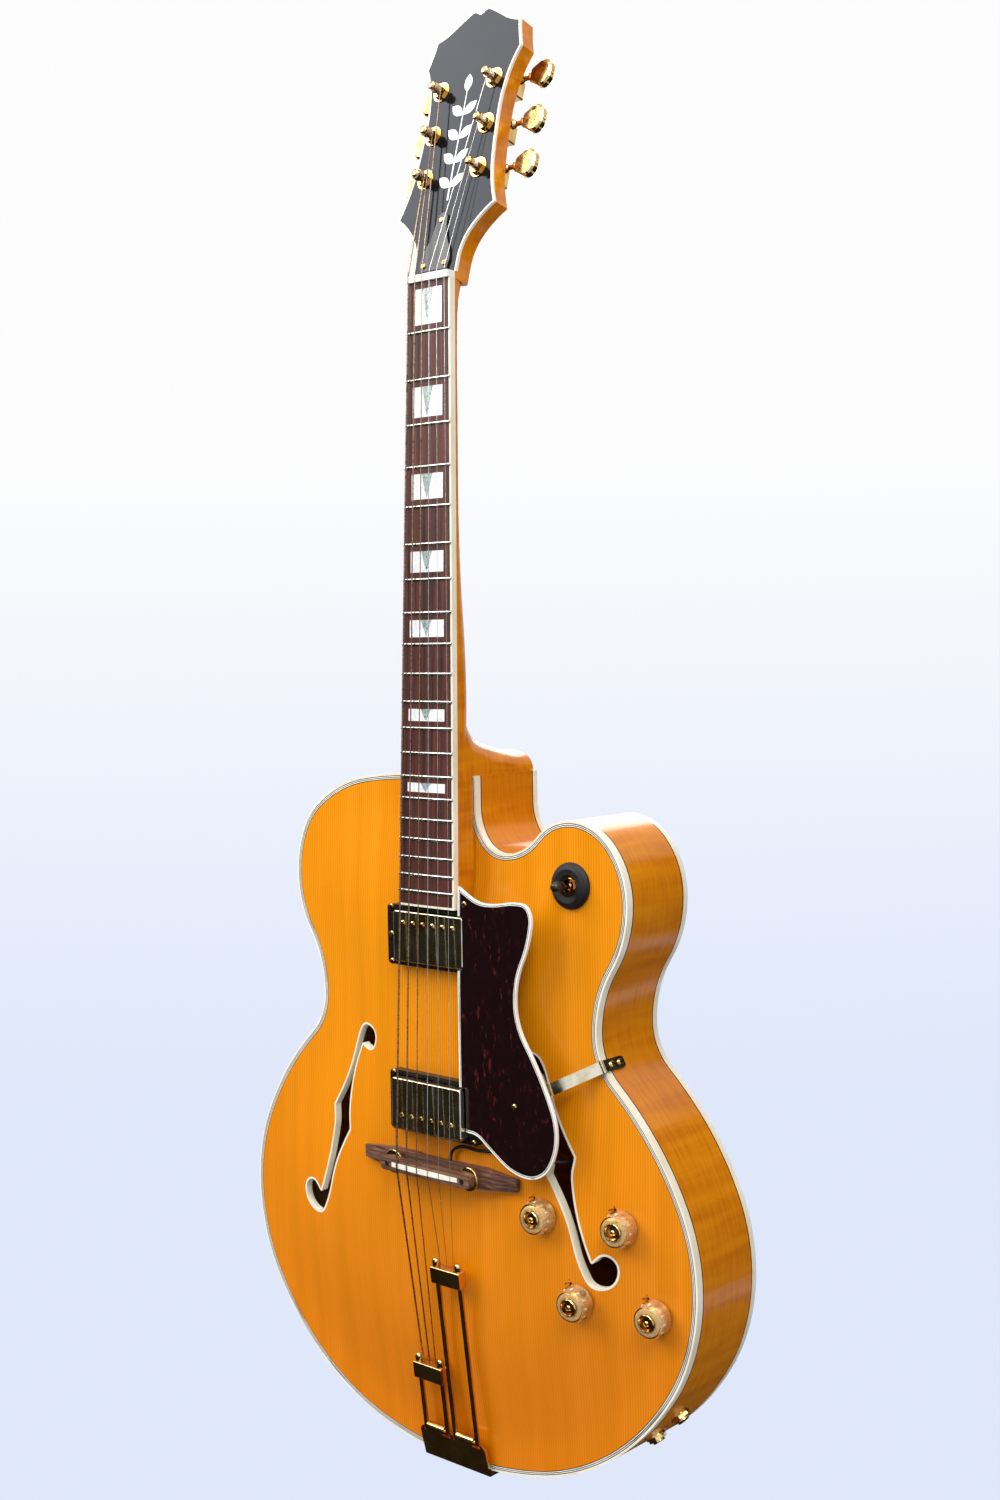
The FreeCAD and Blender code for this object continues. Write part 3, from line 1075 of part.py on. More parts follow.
def make_bridge():
    """Make the bridge: base with studs, thumbwheels, top and saddle."""
    low = FRONT - min(top_h(BASE_HALF, SADDLE_Z), top_h(BASE_HALF, SADDLE_Z - BASE_WIDTH)) + CLEAR
    tip = FRONT - top_h(BASE_HALF, SADDLE_Z) - BASE_TIP_THICKNESS
    top = FRONT - BASE_TOP_H
    half = BASE_WIDTH / 2
    side = [V(-BASE_HALF, low, 0), V(-BASE_HALF, tip, 0), V(-BASE_TOP_HALF, top, 0), V(BASE_TOP_HALF, top, 0),
            V(BASE_HALF, tip, 0), V(BASE_HALF, low, 0)]
    base = Part.Face(Part.makePolygon(side + side[:1])).extrude(V(0, 0, BASE_WIDTH))
    base.translate(V(0, 0, SADDLE_Z - half))
    tip_half = BASE_TIP_WIDTH / 2
    plan = [(BASE_HALF, -tip_half), (BASE_HALF, tip_half), (BASE_TOP_HALF, half), (-BASE_TOP_HALF, half),
            (-BASE_HALF, tip_half), (-BASE_HALF, -tip_half), (-BASE_TOP_HALF, -half), (BASE_TOP_HALF, -half)]
    corners = [V(x, 0, SADDLE_Z + dz) for x, dz in plan]
    base = base.common(slab(Part.makePolygon(corners + corners[:1]), -FAR, FAR)).cut(BEHIND_TOP)
    relief = BEHIND_TOP.copy()
    relief.translate(V(0, -FOOT_GAP, 0))
    low_z = SADDLE_Z - BASE_WIDTH
    high_z = SADDLE_Z + BASE_WIDTH
    base = base.cut(relief.common(box(-FOOT_GAP_HALF, FOOT_GAP_HALF, -FAR, FAR, low_z, high_z)))
    studs = []
    for sign, name in ((-1, "bass"), (1, "treble")):
        foot = V(sign * STUD_X, top + STUD_DEPTH, SADDLE_Z)
        stud = rod(STUD_RADIUS, foot, V(sign * STUD_X, FRONT - STUD_TIP_H, SADDLE_Z))
        base = base.cut(stud)
        studs.append(stud)
        wheel = turned([(STUD_RADIUS + RUN, 0), (WHEEL_RADIUS, 0), (WHEEL_RADIUS, WHEEL_THICKNESS),
                        (STUD_RADIUS + RUN, WHEEL_THICKNESS)])
        NODES["thumbwheel_" + name] = [put(wheel, facing(sign * STUD_X, WHEEL_LOW_H, SADDLE_Z))]
    NODES["bridge_base"] = [base]
    NODES["bridge_studs"] = studs
    under = FRONT - WHEEL_LOW_H - WHEEL_THICKNESS - SLIDE_GAP
    over = FRONT - BRIDGE_TOP_H
    half = BRIDGE_TOP_WIDTH / 2
    bar = box(-BRIDGE_TOP_HALF, BRIDGE_TOP_HALF, over, under, SADDLE_Z - half, SADDLE_Z + half)
    bar = bar.makeFillet(BRIDGE_TOP_CORNER, edges_in_depth(bar))
    for sign in (-1, 1):
        x = sign * STUD_X
        bar = bar.cut(rod(STUD_RADIUS + RUN, V(x, -FAR, SADDLE_Z), V(x, FAR, SADDLE_Z)))
    thick = SADDLE_WIDTH / 2
    saddle = box(-SADDLE_HALF, SADDLE_HALF, -FAR, over + SADDLE_SEAT, SADDLE_Z - thick, SADDLE_Z + thick)
    bar = bar.cut(saddle)
    crest = FRONT - SADDLE_H + BOARD_RADIUS
    saddle = saddle.common(rod(BOARD_RADIUS, V(0, crest, low_z), V(0, crest, high_z)))
    for number, width in enumerate(STRING_WIDTHS):
        tail, rest, nut = string_ends(number)
        groove = width / 2 + STRING_SEAT
        way = [rod(groove, tail, rest), rod(groove, rest, nut)]
        saddle = saddle.cut(way)
        bar = bar.cut(way)
    NODES["bridge_top"] = [bar]
    NODES["bridge_saddle"] = [saddle]


def make_lead():
    """Make the bridge's lead, which lies on the top and goes in at the treble f-hole, and print its bends."""
    points = [V(x, FRONT - top_h(x, z) - h, z) for x, h, z in LEAD_POINTS]
    lead, length, radii = cord(points, LEAD_RADIUS, FAR)
    share = lead.Volume / (math.pi * LEAD_RADIUS ** 2 * length)
    print("lead length", round(length, 1), "bends", radii, "volume over section and length", round(share, 3))
    NODES["bridge_lead"] = [lead]


def make_tailpiece():
    """Make the tailpiece's leaf with its knuckles, the two forks and the strap button."""
    knuckle_y = FRONT - KNUCKLE_H
    leaf_low = -LEAF_REST - LEAF_THICKNESS
    foot = box(-LEAF_HALF, LEAF_HALF, FRONT - LEAF_THICKNESS - LEAF_REST, LEAF_FOOT, leaf_low, -LEAF_REST)
    bend = FRONT - LEAF_REST
    profile = [V(-LEAF_HALF, bend, leaf_low), V(-LEAF_HALF, bend - LEAF_THICKNESS, leaf_low),
               V(-LEAF_HALF, knuckle_y - LEAF_THICKNESS / 2, KNUCKLE_Z),
               V(-LEAF_HALF, knuckle_y + LEAF_THICKNESS / 2, KNUCKLE_Z)]
    leaf = Part.Face(Part.makePolygon(profile + profile[:1])).extrude(V(2 * LEAF_HALF, 0, 0))
    corners = [e for e in leaf.Edges if e.BoundBox.ZMin > KNUCKLE_Z - CLEAR and e.BoundBox.XLength < CLEAR]
    leaf = leaf.makeFillet(LEAF_CORNER, corners).fuse(foot)
    forks = {}
    for side, name, block_z in ((-1, "bass_fork", BASS_BLOCK_Z), (1, "treble_fork", TREBLE_BLOCK_Z)):
        middle = side * FORK_X
        reach = ROD_X - ROD_RADIUS - CLEAR
        axis_low = V(middle - reach, knuckle_y, KNUCKLE_Z)
        axis_high = V(middle + reach, knuckle_y, KNUCKLE_Z)
        leaf = leaf.fuse(rod(KNUCKLE_RADIUS, axis_low, axis_high))
        wide = ROD_RADIUS + CLEAR
        low_z = KNUCKLE_Z - KNUCKLE_RADIUS
        high_z = KNUCKLE_Z + KNUCKLE_RADIUS
        sides = [box(x - wide, x + wide, -FAR, FAR, low_z, high_z) for x in (middle - ROD_X, middle + ROD_X)]
        span = rod(ROD_RADIUS + RUN, axis_low - V(2 * CLEAR, 0, 0), axis_high + V(2 * CLEAR, 0, 0))
        leaf = leaf.cut(sides + [span])
        block_low = block_z - BLOCK_HEIGHT / 2
        block_high = block_z + BLOCK_HEIGHT / 2
        frame = rod(ROD_RADIUS, V(middle - ROD_X, 0, 0), V(middle + ROD_X, 0, 0))
        half_y = BLOCK_THICKNESS / 2
        block = box(middle - BLOCK_HALF, middle + BLOCK_HALF, -half_y, half_y, block_low, block_high)
        block = block.makeFillet(BLOCK_EDGE, block.Edges)
        caps = []
        for s in (-1, 1):
            x = middle + s * ROD_X
            upright = rod(ROD_RADIUS, V(x, 0, 0), V(x, 0, block_high))
            frame = frame.fuse([upright, Part.makeSphere(ROD_RADIUS, V(x, 0, 0))])
            cap = Part.makeCylinder(CAP_RADIUS, CAP_HEIGHT, V(x, 0, block_high))
            caps.append(cap.fuse(Part.makeSphere(CAP_RADIUS, V(x, 0, block_high + CAP_HEIGHT))))
        block = block.cut(frame)
        forks[name] = [put(piece, FORK) for piece in [frame, block] + caps]
    pin_hole = Part.makeCylinder(BUTTON_PIN_RADIUS + RUN, FAR, V(0, 0, -FAR / 2))
    NODES["tailpiece_leaf"] = [leaf.cut(pin_hole)]
    NODES.update(forks)
    flange_low = -BUTTON_PIN_LENGTH - BUTTON_FLANGE
    button = Part.makeCylinder(BUTTON_PIN_RADIUS, BUTTON_PIN_LENGTH, V(0, 0, -BUTTON_PIN_LENGTH))
    button = button.fuse(Part.makeCylinder(BUTTON_FLANGE_RADIUS, BUTTON_FLANGE, V(0, 0, flange_low)))
    NODES["strap_button"] = [button]


def ribbon(points, thickness, width):
    """Return a strip of even thickness along points in the YZ plane, its width centred on X."""
    normals = []
    for a, b in zip(points, points[1:]):
        along = b - a
        along.normalize()
        normals.append(V(0, along.z, -along.y))
    sides = []
    for point, before, after in zip(points, normals[:1] + normals, normals + normals[-1:]):
        offset = (before + after) * (thickness / 2 / (1 + before.dot(after)))
        sides.append((point + offset, point - offset))
    corners = [left for left, right in sides] + [right for left, right in reversed(sides)]
    strip = Part.Face(Part.makePolygon(corners + corners[:1])).extrude(V(width, 0, 0))
    strip.translate(V(-width / 2, 0, 0))
    return strip


def make_pickguard():
    """Make the pickguard, its bound edge, its strap to the rim and the last screws."""
    wire = plan_wire(GUARD_EDGE, 0)
    y1 = FRONT - GUARD_H
    y0 = y1 - GUARD_THICKNESS
    half_x = COVER_LENGTH / 2 + GUARD_COVER_GAP
    half_z = COVER_WIDTH / 2 + GUARD_COVER_GAP
    notches = [box(-half_x, half_x, -FAR, FAR, z - half_z, z + half_z) for z in PICKUP_ZS]
    through = Part.makeCylinder(SCREW_RADIUS, 2 * FAR, V(0, 0, -FAR))
    holes = [put(through, facing(x, 0, z)) for x, z in GUARD_SCREWS]
    plies = []
    start = 0
    for ply in GUARD_PLIES:
        plies += band(wire, start, start + ply, y0, y1).cut(notches).Solids
        start += ply
    NODES["pickguard"] = [slab(inset(wire, start), y0, y1).cut(notches + holes)]
    NODES["pickguard_binding"] = plies
    held_x, held_z = GUARD_SCREWS[1]
    seat = rim_seat(GUARD_SCREWS[1])
    reach = (seat.Base - V(held_x, 0, held_z)).Length
    level = y1 + STRAP_THICKNESS / 2
    plate_z = STRAP_REST + STRAP_THICKNESS / 2
    points = [V(0, level, -reach - STRAP_END), V(0, level, STRAP_LEVEL - reach),
              V(0, FRONT - plate_z, plate_z), V(0, FRONT + RIM_PLATE_REACH, plate_z)]
    strap = put(ribbon(points, STRAP_THICKNESS, STRAP_WIDTH), seat)
    last = []
    for x, z in GUARD_SCREWS:
        last.append(put(screw(), facing(x, GUARD_H + GUARD_THICKNESS, z)))
    for y in RIM_SCREW_YS:
        place = seat.multiply(Placement(V(0, FRONT + y, STRAP_REST + STRAP_THICKNESS), Rotation()))
        last.append(put(screw(), place))
    for x, z in COVER_SCREWS:
        place = HEAD.multiply(Placement(V(x, -COVER_THICKNESS, z), FACING))
        last.append(put(screw(), place))
    strap = strap.cut(last)
    NODES["pickguard_strap"] = [strap]
    NODES["screws"] += last
    rim_holes = last[len(GUARD_SCREWS):len(GUARD_SCREWS) + len(RIM_SCREW_YS)]
    NODES["rim_sides"] = [NODES["rim_sides"][0].cut(rim_holes)]
    NODES["linings"] = [ring.cut(rim_holes) for ring in NODES["linings"]]
    cover_holes = last[-len(COVER_SCREWS):]
    for name in ("truss_rod_cover", "headstock_veneer", "neck"):
        NODES[name] = [NODES[name][0].cut(cover_holes)]


make_body()
make_neck()
make_fingerboard()
make_tuners()
make_strings()
make_pickups()
make_controls()
make_bridge()
make_lead()
make_tailpiece()
make_pickguard()

for name, solids in NODES.items():
    shape = solids[0] if len(solids) == 1 else Part.makeCompound(solids)
    shape.exportStep("parts/" + name + ".step")
print(len(NODES), "nodes")
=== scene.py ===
import json
import math
from functools import cache
from itertools import accumulate

import bmesh
import bpy
from mathutils import Euler, Matrix, Vector


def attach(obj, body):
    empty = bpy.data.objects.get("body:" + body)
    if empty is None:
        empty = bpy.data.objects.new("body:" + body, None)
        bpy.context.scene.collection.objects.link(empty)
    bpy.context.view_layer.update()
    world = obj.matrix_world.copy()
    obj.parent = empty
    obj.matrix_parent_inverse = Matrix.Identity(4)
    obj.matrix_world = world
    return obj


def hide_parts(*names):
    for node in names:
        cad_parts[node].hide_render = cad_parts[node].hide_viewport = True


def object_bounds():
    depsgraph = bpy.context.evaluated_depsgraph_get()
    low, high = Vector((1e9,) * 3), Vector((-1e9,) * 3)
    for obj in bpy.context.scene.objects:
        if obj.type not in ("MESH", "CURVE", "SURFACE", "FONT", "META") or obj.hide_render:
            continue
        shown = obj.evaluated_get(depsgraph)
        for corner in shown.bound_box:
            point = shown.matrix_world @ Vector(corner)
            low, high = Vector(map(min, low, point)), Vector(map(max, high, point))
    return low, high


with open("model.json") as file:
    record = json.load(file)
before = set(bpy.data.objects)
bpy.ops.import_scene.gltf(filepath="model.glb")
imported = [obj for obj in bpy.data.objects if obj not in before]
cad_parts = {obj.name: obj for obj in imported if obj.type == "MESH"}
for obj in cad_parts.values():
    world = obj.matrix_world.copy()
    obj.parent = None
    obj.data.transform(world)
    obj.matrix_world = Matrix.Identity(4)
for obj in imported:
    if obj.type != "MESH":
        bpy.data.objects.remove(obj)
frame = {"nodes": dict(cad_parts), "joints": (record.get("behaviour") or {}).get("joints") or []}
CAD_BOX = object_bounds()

bl_info = {
    "name": "Archtop guitar",
    "version": (1, 0, 0),
    "blender": (4, 5, 0),
    "location": "View3D > Sidebar > Archtop",
    "description": "Finishes and fine pieces of a hollow-body archtop guitar, on its packed construction",
    "category": "Object",
}

# The pieces' own lengths are in millimetres, and those of the stage and the materials in metres
MM = 0.001
# Vertices that are nearer than this to each other, in metres, are joined
MERGE = 1e-6
TUNERS = (1, 2, 3, 4, 5, 6)
PLAIN_STRINGS = 3
KNOBS = ("neck_volume", "neck_tone", "bridge_volume", "bridge_tone")
JOINTS = {joint["name"]: joint for joint in frame["joints"]}

# The headstock's face: its origin is where the nut's line meets it, X to the treble side, Z up the face
HEAD_ORIGIN = Vector((0.0, -41.294, 878.819)) * MM
HEAD_TILT = math.radians(-15.9)
HEAD = Matrix.Translation(HEAD_ORIGIN) @ Matrix.Rotation(HEAD_TILT, 4, "X")

# The normal of the top under the switch
SWITCH_NORMAL = (0.02496, -0.99834, 0.05189)

# Where the guard's bracket meets the rim: X along the edge, Y to the back, Z out of the rim
BRACKET_ORIGIN = Vector((143.398, 0.0, 321.685)) * MM
BRACKET_TURN = math.radians(61.58)
BRACKET = Matrix.Translation(BRACKET_ORIGIN) @ Matrix.Rotation(BRACKET_TURN, 4, "Y")

# The scale at which a wave texture has one band in each unit of length
ONE_BAND = math.pi / 10

# The span that a noise texture's values mostly keep to, for a Map Range node
NOISE_SPAN = {"From Min": 0.3, "From Max": 0.7}

# Sockets of a Mix node: its factor, its two numbers, its two colours, and the number and colour it gives
FACTOR = 0
NUMBER_A = 2
NUMBER_B = 3
COLOUR_A = 6
COLOUR_B = 7
NUMBER_OUT = 0
COLOUR_OUT = 2

# The camera that took the photograph, found from the frets, and its axes
CAMERA_PLACE = (0.93993, -1.0330, 0.62174)
CAMERA_RIGHT = (0.74785, 0.66366, -0.01649)
CAMERA_UP = (-0.02836, 0.05676, 0.99799)
CAMERA_BACK = (0.66326, -0.74588, 0.06127)
CAMERA_LENS = 44.616
CAMERA_SENSOR = 36.0


def linear(code):
    """Turns an sRGB hex value into linear red, green and blue, with an alpha of one."""
    channels = [int(code[start:start + 2], 16) / 255 for start in (1, 3, 5)]
    return tuple(c / 12.92 if c <= 0.04045 else ((c + 0.055) / 1.055) ** 2.4 for c in channels) + (1.0,)


def colour(name, description, code):
    """A colour that a user can change, from its sRGB hex value."""
    return bpy.props.FloatVectorProperty(
        name=name, description=description, subtype="COLOR", size=4, min=0.0, max=1.0, default=linear(code))


def length(name, description, metres):
    """A length that a user can change, in metres."""
    return bpy.props.FloatProperty(
        name=name, description=description, subtype="DISTANCE", unit="LENGTH", min=0.0, default=metres)


class ArchtopColours(bpy.types.PropertyGroup):
    """Colours of the guitar's finishes"""

    spruce: colour("Spruce", "Lacquered top towards the neck, between the grain lines", "#EC930C")
    spruce_deep: colour("Spruce, deep", "Lacquered top towards the tail, between the grain lines", "#E27E04")
    spruce_line: colour("Spruce line", "Late wood of the top's grain", "#C56A04")
    maple: colour("Maple", "Light bands of the back, rim and neck", "#CE7806")
    maple_shade: colour("Maple shade", "Dark bands of the back, rim and neck", "#BC6804")
    rosewood: colour("Rosewood", "Light streaks of the fingerboard", "#642E22")
    rosewood_shade: colour("Rosewood shade", "Dark streaks of the fingerboard", "#2B110A")
    cream: colour("Cream", "Bindings of the body, neck and f-holes", "#F1E9D4")
    gold: colour("Gold", "Plated metal parts", "#E6C283")
    tortoise: colour("Tortoise", "Ground of the pickguard", "#170809")
    tortoise_fleck: colour("Tortoise fleck", "Flecks of the pickguard", "#601A1C")
    backdrop_low: colour("Backdrop, low", "Backdrop near the floor", "#E0E8FB")
    backdrop_middle: colour("Backdrop, middle", "Backdrop behind the body", "#F1F5FE")
    backdrop_high: colour("Backdrop, high", "Backdrop above the headstock", "#FFFFFF")


class ArchtopSizes(bpy.types.PropertyGroup):
    """Sizes of the patterns and of the fine pieces"""

    grain: length("Grain", "Distance of the top's grain lines", 0.0022)
    flame: length("Flame", "Distance of the maple's flame bands", 0.009)
    streak: length("Streak", "Width of the rosewood's streaks", 0.0016)
    fleck: length("Fleck", "Size of the pickguard's flecks", 0.0038)
    digit: length("Digit", "Height of the numbers on the knobs", 0.0027)
    leaf: length("Leaf", "Length of a leaf of the headstock's inlay", 0.015)
    floor_drop: length("Floor drop", "How far the floor is below the tail", 0.28)
    backdrop_gap: length("Backdrop gap", "How far the backdrop is behind the guitar", 4.0)
    cove: length("Cove", "Radius of the bend from the floor to the wall", 3.0)


def add(tree, kind, settings=None, values=None, links=None):
    """Adds a shader node with its settings, the values of its sockets and the links into it."""
    node = tree.nodes.new("ShaderNode" + kind)
    for key, value in (settings or {}).items():
        if key == "stops":
            elements = node.color_ramp.elements
            while len(elements) < len(value):
                elements.new(1.0)
            for element, (position, tint) in zip(elements, value):
                element.position = position
                element.color = linear(tint) if isinstance(tint, str) else tint
        else:
            setattr(node, key, value)
    for key, value in (values or {}).items():
        node.inputs[key].default_value = value
    for key, socket in (links or {}).items():
        tree.links.new(socket, node.inputs[key])
    return node


def finish(name, values):
    """Starts a material from its shader's own values and returns it with its tree and shader."""
    material = bpy.data.materials.new(name)
    material.use_nodes = True
    tree = material.node_tree
    tree.nodes.clear()
    shader = add(tree, "BsdfPrincipled", values=values)
    add(tree, "OutputMaterial", links={"Surface": shader.outputs["BSDF"]})
    return material, tree, shader


def clouded(tree, cell, detail=3.0, distortion=0.0):
    """The output of a noise whose cells have these sizes in metres along X, Y and Z of the object."""
    place = add(tree, "TexCoord")
    scaled = add(tree, "Mapping", values={"Scale": [1 / size for size in cell]},
                 links={"Vector": place.outputs["Object"]})
    noise = add(tree, "TexNoise",
                values={"Scale": 1.0, "Detail": detail, "Roughness": 0.6, "Distortion": distortion},
                links={"Vector": scaled.outputs["Vector"]})
    return noise.outputs["Fac"]


def climb(tree, low, high):
    """Goes from zero at a low height of the object to one at a high height."""
    place = add(tree, "TexCoord")
    axes = add(tree, "SeparateXYZ", links={"Vector": place.outputs["Object"]})
    node = add(tree, "MapRange", values={"From Min": low, "From Max": high},
               links={"Value": axes.outputs["Z"]})
    return node.outputs["Result"]


def mottled(name, values, stops, cell, roughness, relief=0.0, detail=3.0, distortion=0.0):
    """A material whose colour, gloss and relief follow one noise, with stops and a roughness range."""
    material, tree, shader = finish(name, values)
    cloud = clouded(tree, cell, detail, distortion)
    ramp = add(tree, "ValToRGB", {"stops": stops}, links={"Fac": cloud})
    low, high = roughness
    gloss = add(tree, "MapRange", values=NOISE_SPAN | {"To Min": low, "To Max": high},
                links={"Value": cloud})
    tree.links.new(ramp.outputs["Color"], shader.inputs["Base Color"])
    tree.links.new(gloss.outputs["Result"], shader.inputs["Roughness"])
    if relief:
        bump = add(tree, "Bump", values={"Strength": 0.5, "Distance": relief}, links={"Height": cloud})
        tree.links.new(bump.outputs["Normal"], shader.inputs["Normal"])
    return material


def grained(name, values, stops, streak, figure, share, relief, lines=()):
    """A wood of fine streaks and a broad figure, with dark lines at heights along Y, in millimetres."""
    material, tree, shader = finish(name, values)
    fine = clouded(tree, streak, 3.0, 0.15)
    broad = clouded(tree, figure, 2.0, 0.5)
    both = add(tree, "Mix", {"data_type": "FLOAT"}, {FACTOR: share}, {NUMBER_A: fine, NUMBER_B: broad})
    ramp = add(tree, "ValToRGB", {"stops": stops}, links={"Fac": both.outputs[NUMBER_OUT]})
    tint = ramp.outputs["Color"]
    for height, half in lines:
        place = add(tree, "TexCoord")
        axes = add(tree, "SeparateXYZ", links={"Vector": place.outputs["Object"]})
        near = add(tree, "Math", {"operation": "COMPARE"}, {1: height * MM, 2: half * MM},
                   {0: axes.outputs["Y"]})
        inlaid = add(tree, "Mix", {"data_type": "RGBA"}, {COLOUR_B: linear("#17120D")},
                     {FACTOR: near.outputs["Value"], COLOUR_A: tint})
        tint = inlaid.outputs[COLOUR_OUT]
    bump = add(tree, "Bump", values={"Strength": 0.4, "Distance": relief}, links={"Height": fine})
    tree.links.new(tint, shader.inputs["Base Color"])
    tree.links.new(bump.outputs["Normal"], shader.inputs["Normal"])
    return material


def dress(material, *nodes):
    """Gives construction nodes a finish."""
    for node in nodes:
        mesh = frame["nodes"][node].data
        mesh.materials.clear()
        mesh.materials.append(material)


def piece(name, bm, body, materials, angle=35.0):
    """Makes a piece of a bmesh, smooth but for its sharp edges, and lets it ride on its body."""
    mesh = bpy.data.meshes.new(name)
    bm.to_mesh(mesh)
    bm.free()
    for material in materials:
        mesh.materials.append(material)
    mesh.shade_smooth()
    mesh.set_sharp_from_angle(angle=math.radians(angle))
    obj = bpy.data.objects.new(name, mesh)
    bpy.context.scene.collection.objects.link(obj)
    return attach(obj, body)


def put(target, bm, place, finish_index=0):
    """Moves a bmesh to its place and adds it to another one, with one of that piece's finishes."""
    for face in bm.faces:
        face.material_index = finish_index
    bm.transform(place)
    mesh = bpy.data.meshes.new("added")
    bm.to_mesh(mesh)
    bm.free()
    target.from_mesh(mesh)
    bpy.data.meshes.remove(mesh)


def merged_copy(node):
    """A copy of a construction node with its triangles joined."""
    bm = bmesh.new()
    bm.from_mesh(frame["nodes"][node].data)
    bmesh.ops.remove_doubles(bm, verts=bm.verts, dist=MERGE)
    return bm


def islands(bm):
    """The faces of each loose island of a bmesh, parted where more than two faces meet at an edge."""
    left = set(bm.faces)
    found = []
    while left:
        front = [left.pop()]
        island = list(front)
        while front:
            face = front.pop()
            pairs = [edge.link_faces for edge in face.edges if len(edge.link_faces) == 2]
            near = {other for pair in pairs for other in pair} & left
            left -= near
            front.extend(near)
            island.extend(near)
        found.append(island)
    return found


def reach(faces, axis):
    """How far some faces reach along an axis, to its low and its high side."""
    places = [vert.co[axis] for face in faces for vert in face.verts]
    return min(places), max(places)


def lay_ply(faces, inset, widths):
    """Gives the faces of one ply of an edge the finish of its place, counted in from the outer edge."""
    middle = inset + min(widths) / 2 * MM
    number = sum(middle > edge * MM for edge in accumulate(widths[:-1]))
    for face in faces:
        face.material_index = number % 2


def lathe(profile, steps=48):
    """Turns a profile of radii and heights, in millimetres, about Z."""
    bm = bmesh.new()
    verts = [bm.verts.new((radius * MM, 0.0, height * MM)) for radius, height in profile]
    edges = [bm.edges.new(ends) for ends in zip(verts, verts[1:])]
    bmesh.ops.spin(bm, geom=verts + edges, cent=(0, 0, 0), axis=(0, 0, 1), dvec=(0, 0, 0),
                   angle=math.tau, steps=steps, use_merge=True, use_duplicate=False)
    bmesh.ops.remove_doubles(bm, verts=bm.verts, dist=MERGE / 10)
    bmesh.ops.recalc_face_normals(bm, faces=bm.faces)
    return bm


def rounded(bm, geom, offset, affect, segments):
    """Rounds edges or corners of a bmesh, by a distance in metres."""
    bmesh.ops.bevel(bm, geom=geom, offset=offset, offset_type="OFFSET", affect=affect, segments=segments,
                    profile=0.5, material=-1)


def verts_of(geom):
    """The vertices in the result of a bmesh operator."""
    return [item for item in geom if isinstance(item, bmesh.types.BMVert)]


def seat(origin, normal):
    """The place of a piece made about Z, stood on a point along a normal, its Y towards the headstock."""
    turn = Vector(normal).to_track_quat("Z", "Y").to_matrix().to_4x4()
    return Matrix.Translation(Vector(origin)) @ turn


def joint_seat(joint):
    """The place of a piece made about the axis of a turning joint."""
    return seat(JOINTS[joint]["pos_m"], JOINTS[joint]["axis"])


@cache
def spruce_top():
    # Quarter-sawn spruce under amber lacquer: straight year rings, the broad bands of its silk painted as a
    # sheen that lightens and darkens the colour, and an even gloss.
    # Real year rings are 1 to 1.5 mm apart and wouldn't show, so they are drawn wider.
    c = bpy.context.scene.archtop_colours
    s = bpy.context.scene.archtop_sizes
    material, tree, shader = finish("lacquered_spruce", {"IOR": 1.5})
    place = add(tree, "TexCoord")
    laid = add(tree, "Mapping", values={"Scale": (1 / s.grain, 4.0, 2.0)},
               links={"Vector": place.outputs["Object"]})
    rings = add(tree, "TexWave", {"bands_direction": "X"},
                {"Scale": ONE_BAND, "Distortion": 2.5, "Detail": 2.0, "Detail Scale": 0.5},
                {"Vector": laid.outputs["Vector"]})
    late_wood = rings.outputs["Fac"]
    silk = clouded(tree, (0.014, 0.3, 0.4), 3.0, 0.2)
    # The top's colour goes from spruce_deep at the tail to spruce towards the neck: darker and more orange
    # towards the bottom
    amber = add(tree, "Mix", {"data_type": "RGBA"}, {COLOUR_A: c.spruce_deep, COLOUR_B: c.spruce},
                {FACTOR: climb(tree, 0.04, 0.36)})
    # Painted sheen: the silk noise makes the colour up to 8 percent lighter or darker in broad bands along
    # the grain
    painted_sheen = add(tree, "MapRange", values=NOISE_SPAN | {"To Min": 0.92, "To Max": 1.08},
                  links={"Value": silk})
    tint = add(tree, "HueSaturation",
               links={"Color": amber.outputs[COLOUR_OUT], "Value": painted_sheen.outputs["Result"]})
    share = add(tree, "Math", {"operation": "MULTIPLY"}, {1: 0.5}, {0: late_wood})
    lined = add(tree, "Mix", {"data_type": "RGBA"}, {COLOUR_B: c.spruce_line},
                {FACTOR: share.outputs["Value"], COLOUR_A: tint.outputs["Color"]})
    gloss = add(tree, "MapRange", values=NOISE_SPAN | {"To Min": 0.15, "To Max": 0.24},
                links={"Value": silk})
    bump = add(tree, "Bump", values={"Strength": 0.3, "Distance": 0.00003}, links={"Height": late_wood})
    tree.links.new(lined.outputs[COLOUR_OUT], shader.inputs["Base Color"])
    tree.links.new(gloss.outputs["Result"], shader.inputs["Roughness"])
    tree.links.new(bump.outputs["Normal"], shader.inputs["Normal"])
    return material


@cache
def flamed_maple(name, figure, lines=()):
    # Flamed maple under amber lacquer: soft light and dark bands across the grain, and a gloss face.
    c = bpy.context.scene.archtop_colours
    stops = ((0.36, c.maple_shade), (0.5, c.maple), (0.64, "#D8860C"))
    return grained(name, {"Roughness": 0.2, "IOR": 1.5, "Specular IOR Level": 0.35}, stops,
                   (0.03, 0.0025, 0.03), figure, 0.6, 0.00003, lines)


@cache
def oiled_rosewood(name, streak):
    # Oiled rosewood: dark red-brown streaks along the wood, open pores and only a soft sheen.
    c = bpy.context.scene.archtop_colours
    stops = ((0.36, c.rosewood_shade), (0.5, "#4A261C"), (0.64, c.rosewood))
    wide = tuple(4 * size for size in streak)
    return grained(name, {"Roughness": 0.46, "IOR": 1.5, "Specular IOR Level": 0.3}, stops,
                   streak, wide, 0.4, 0.00012)


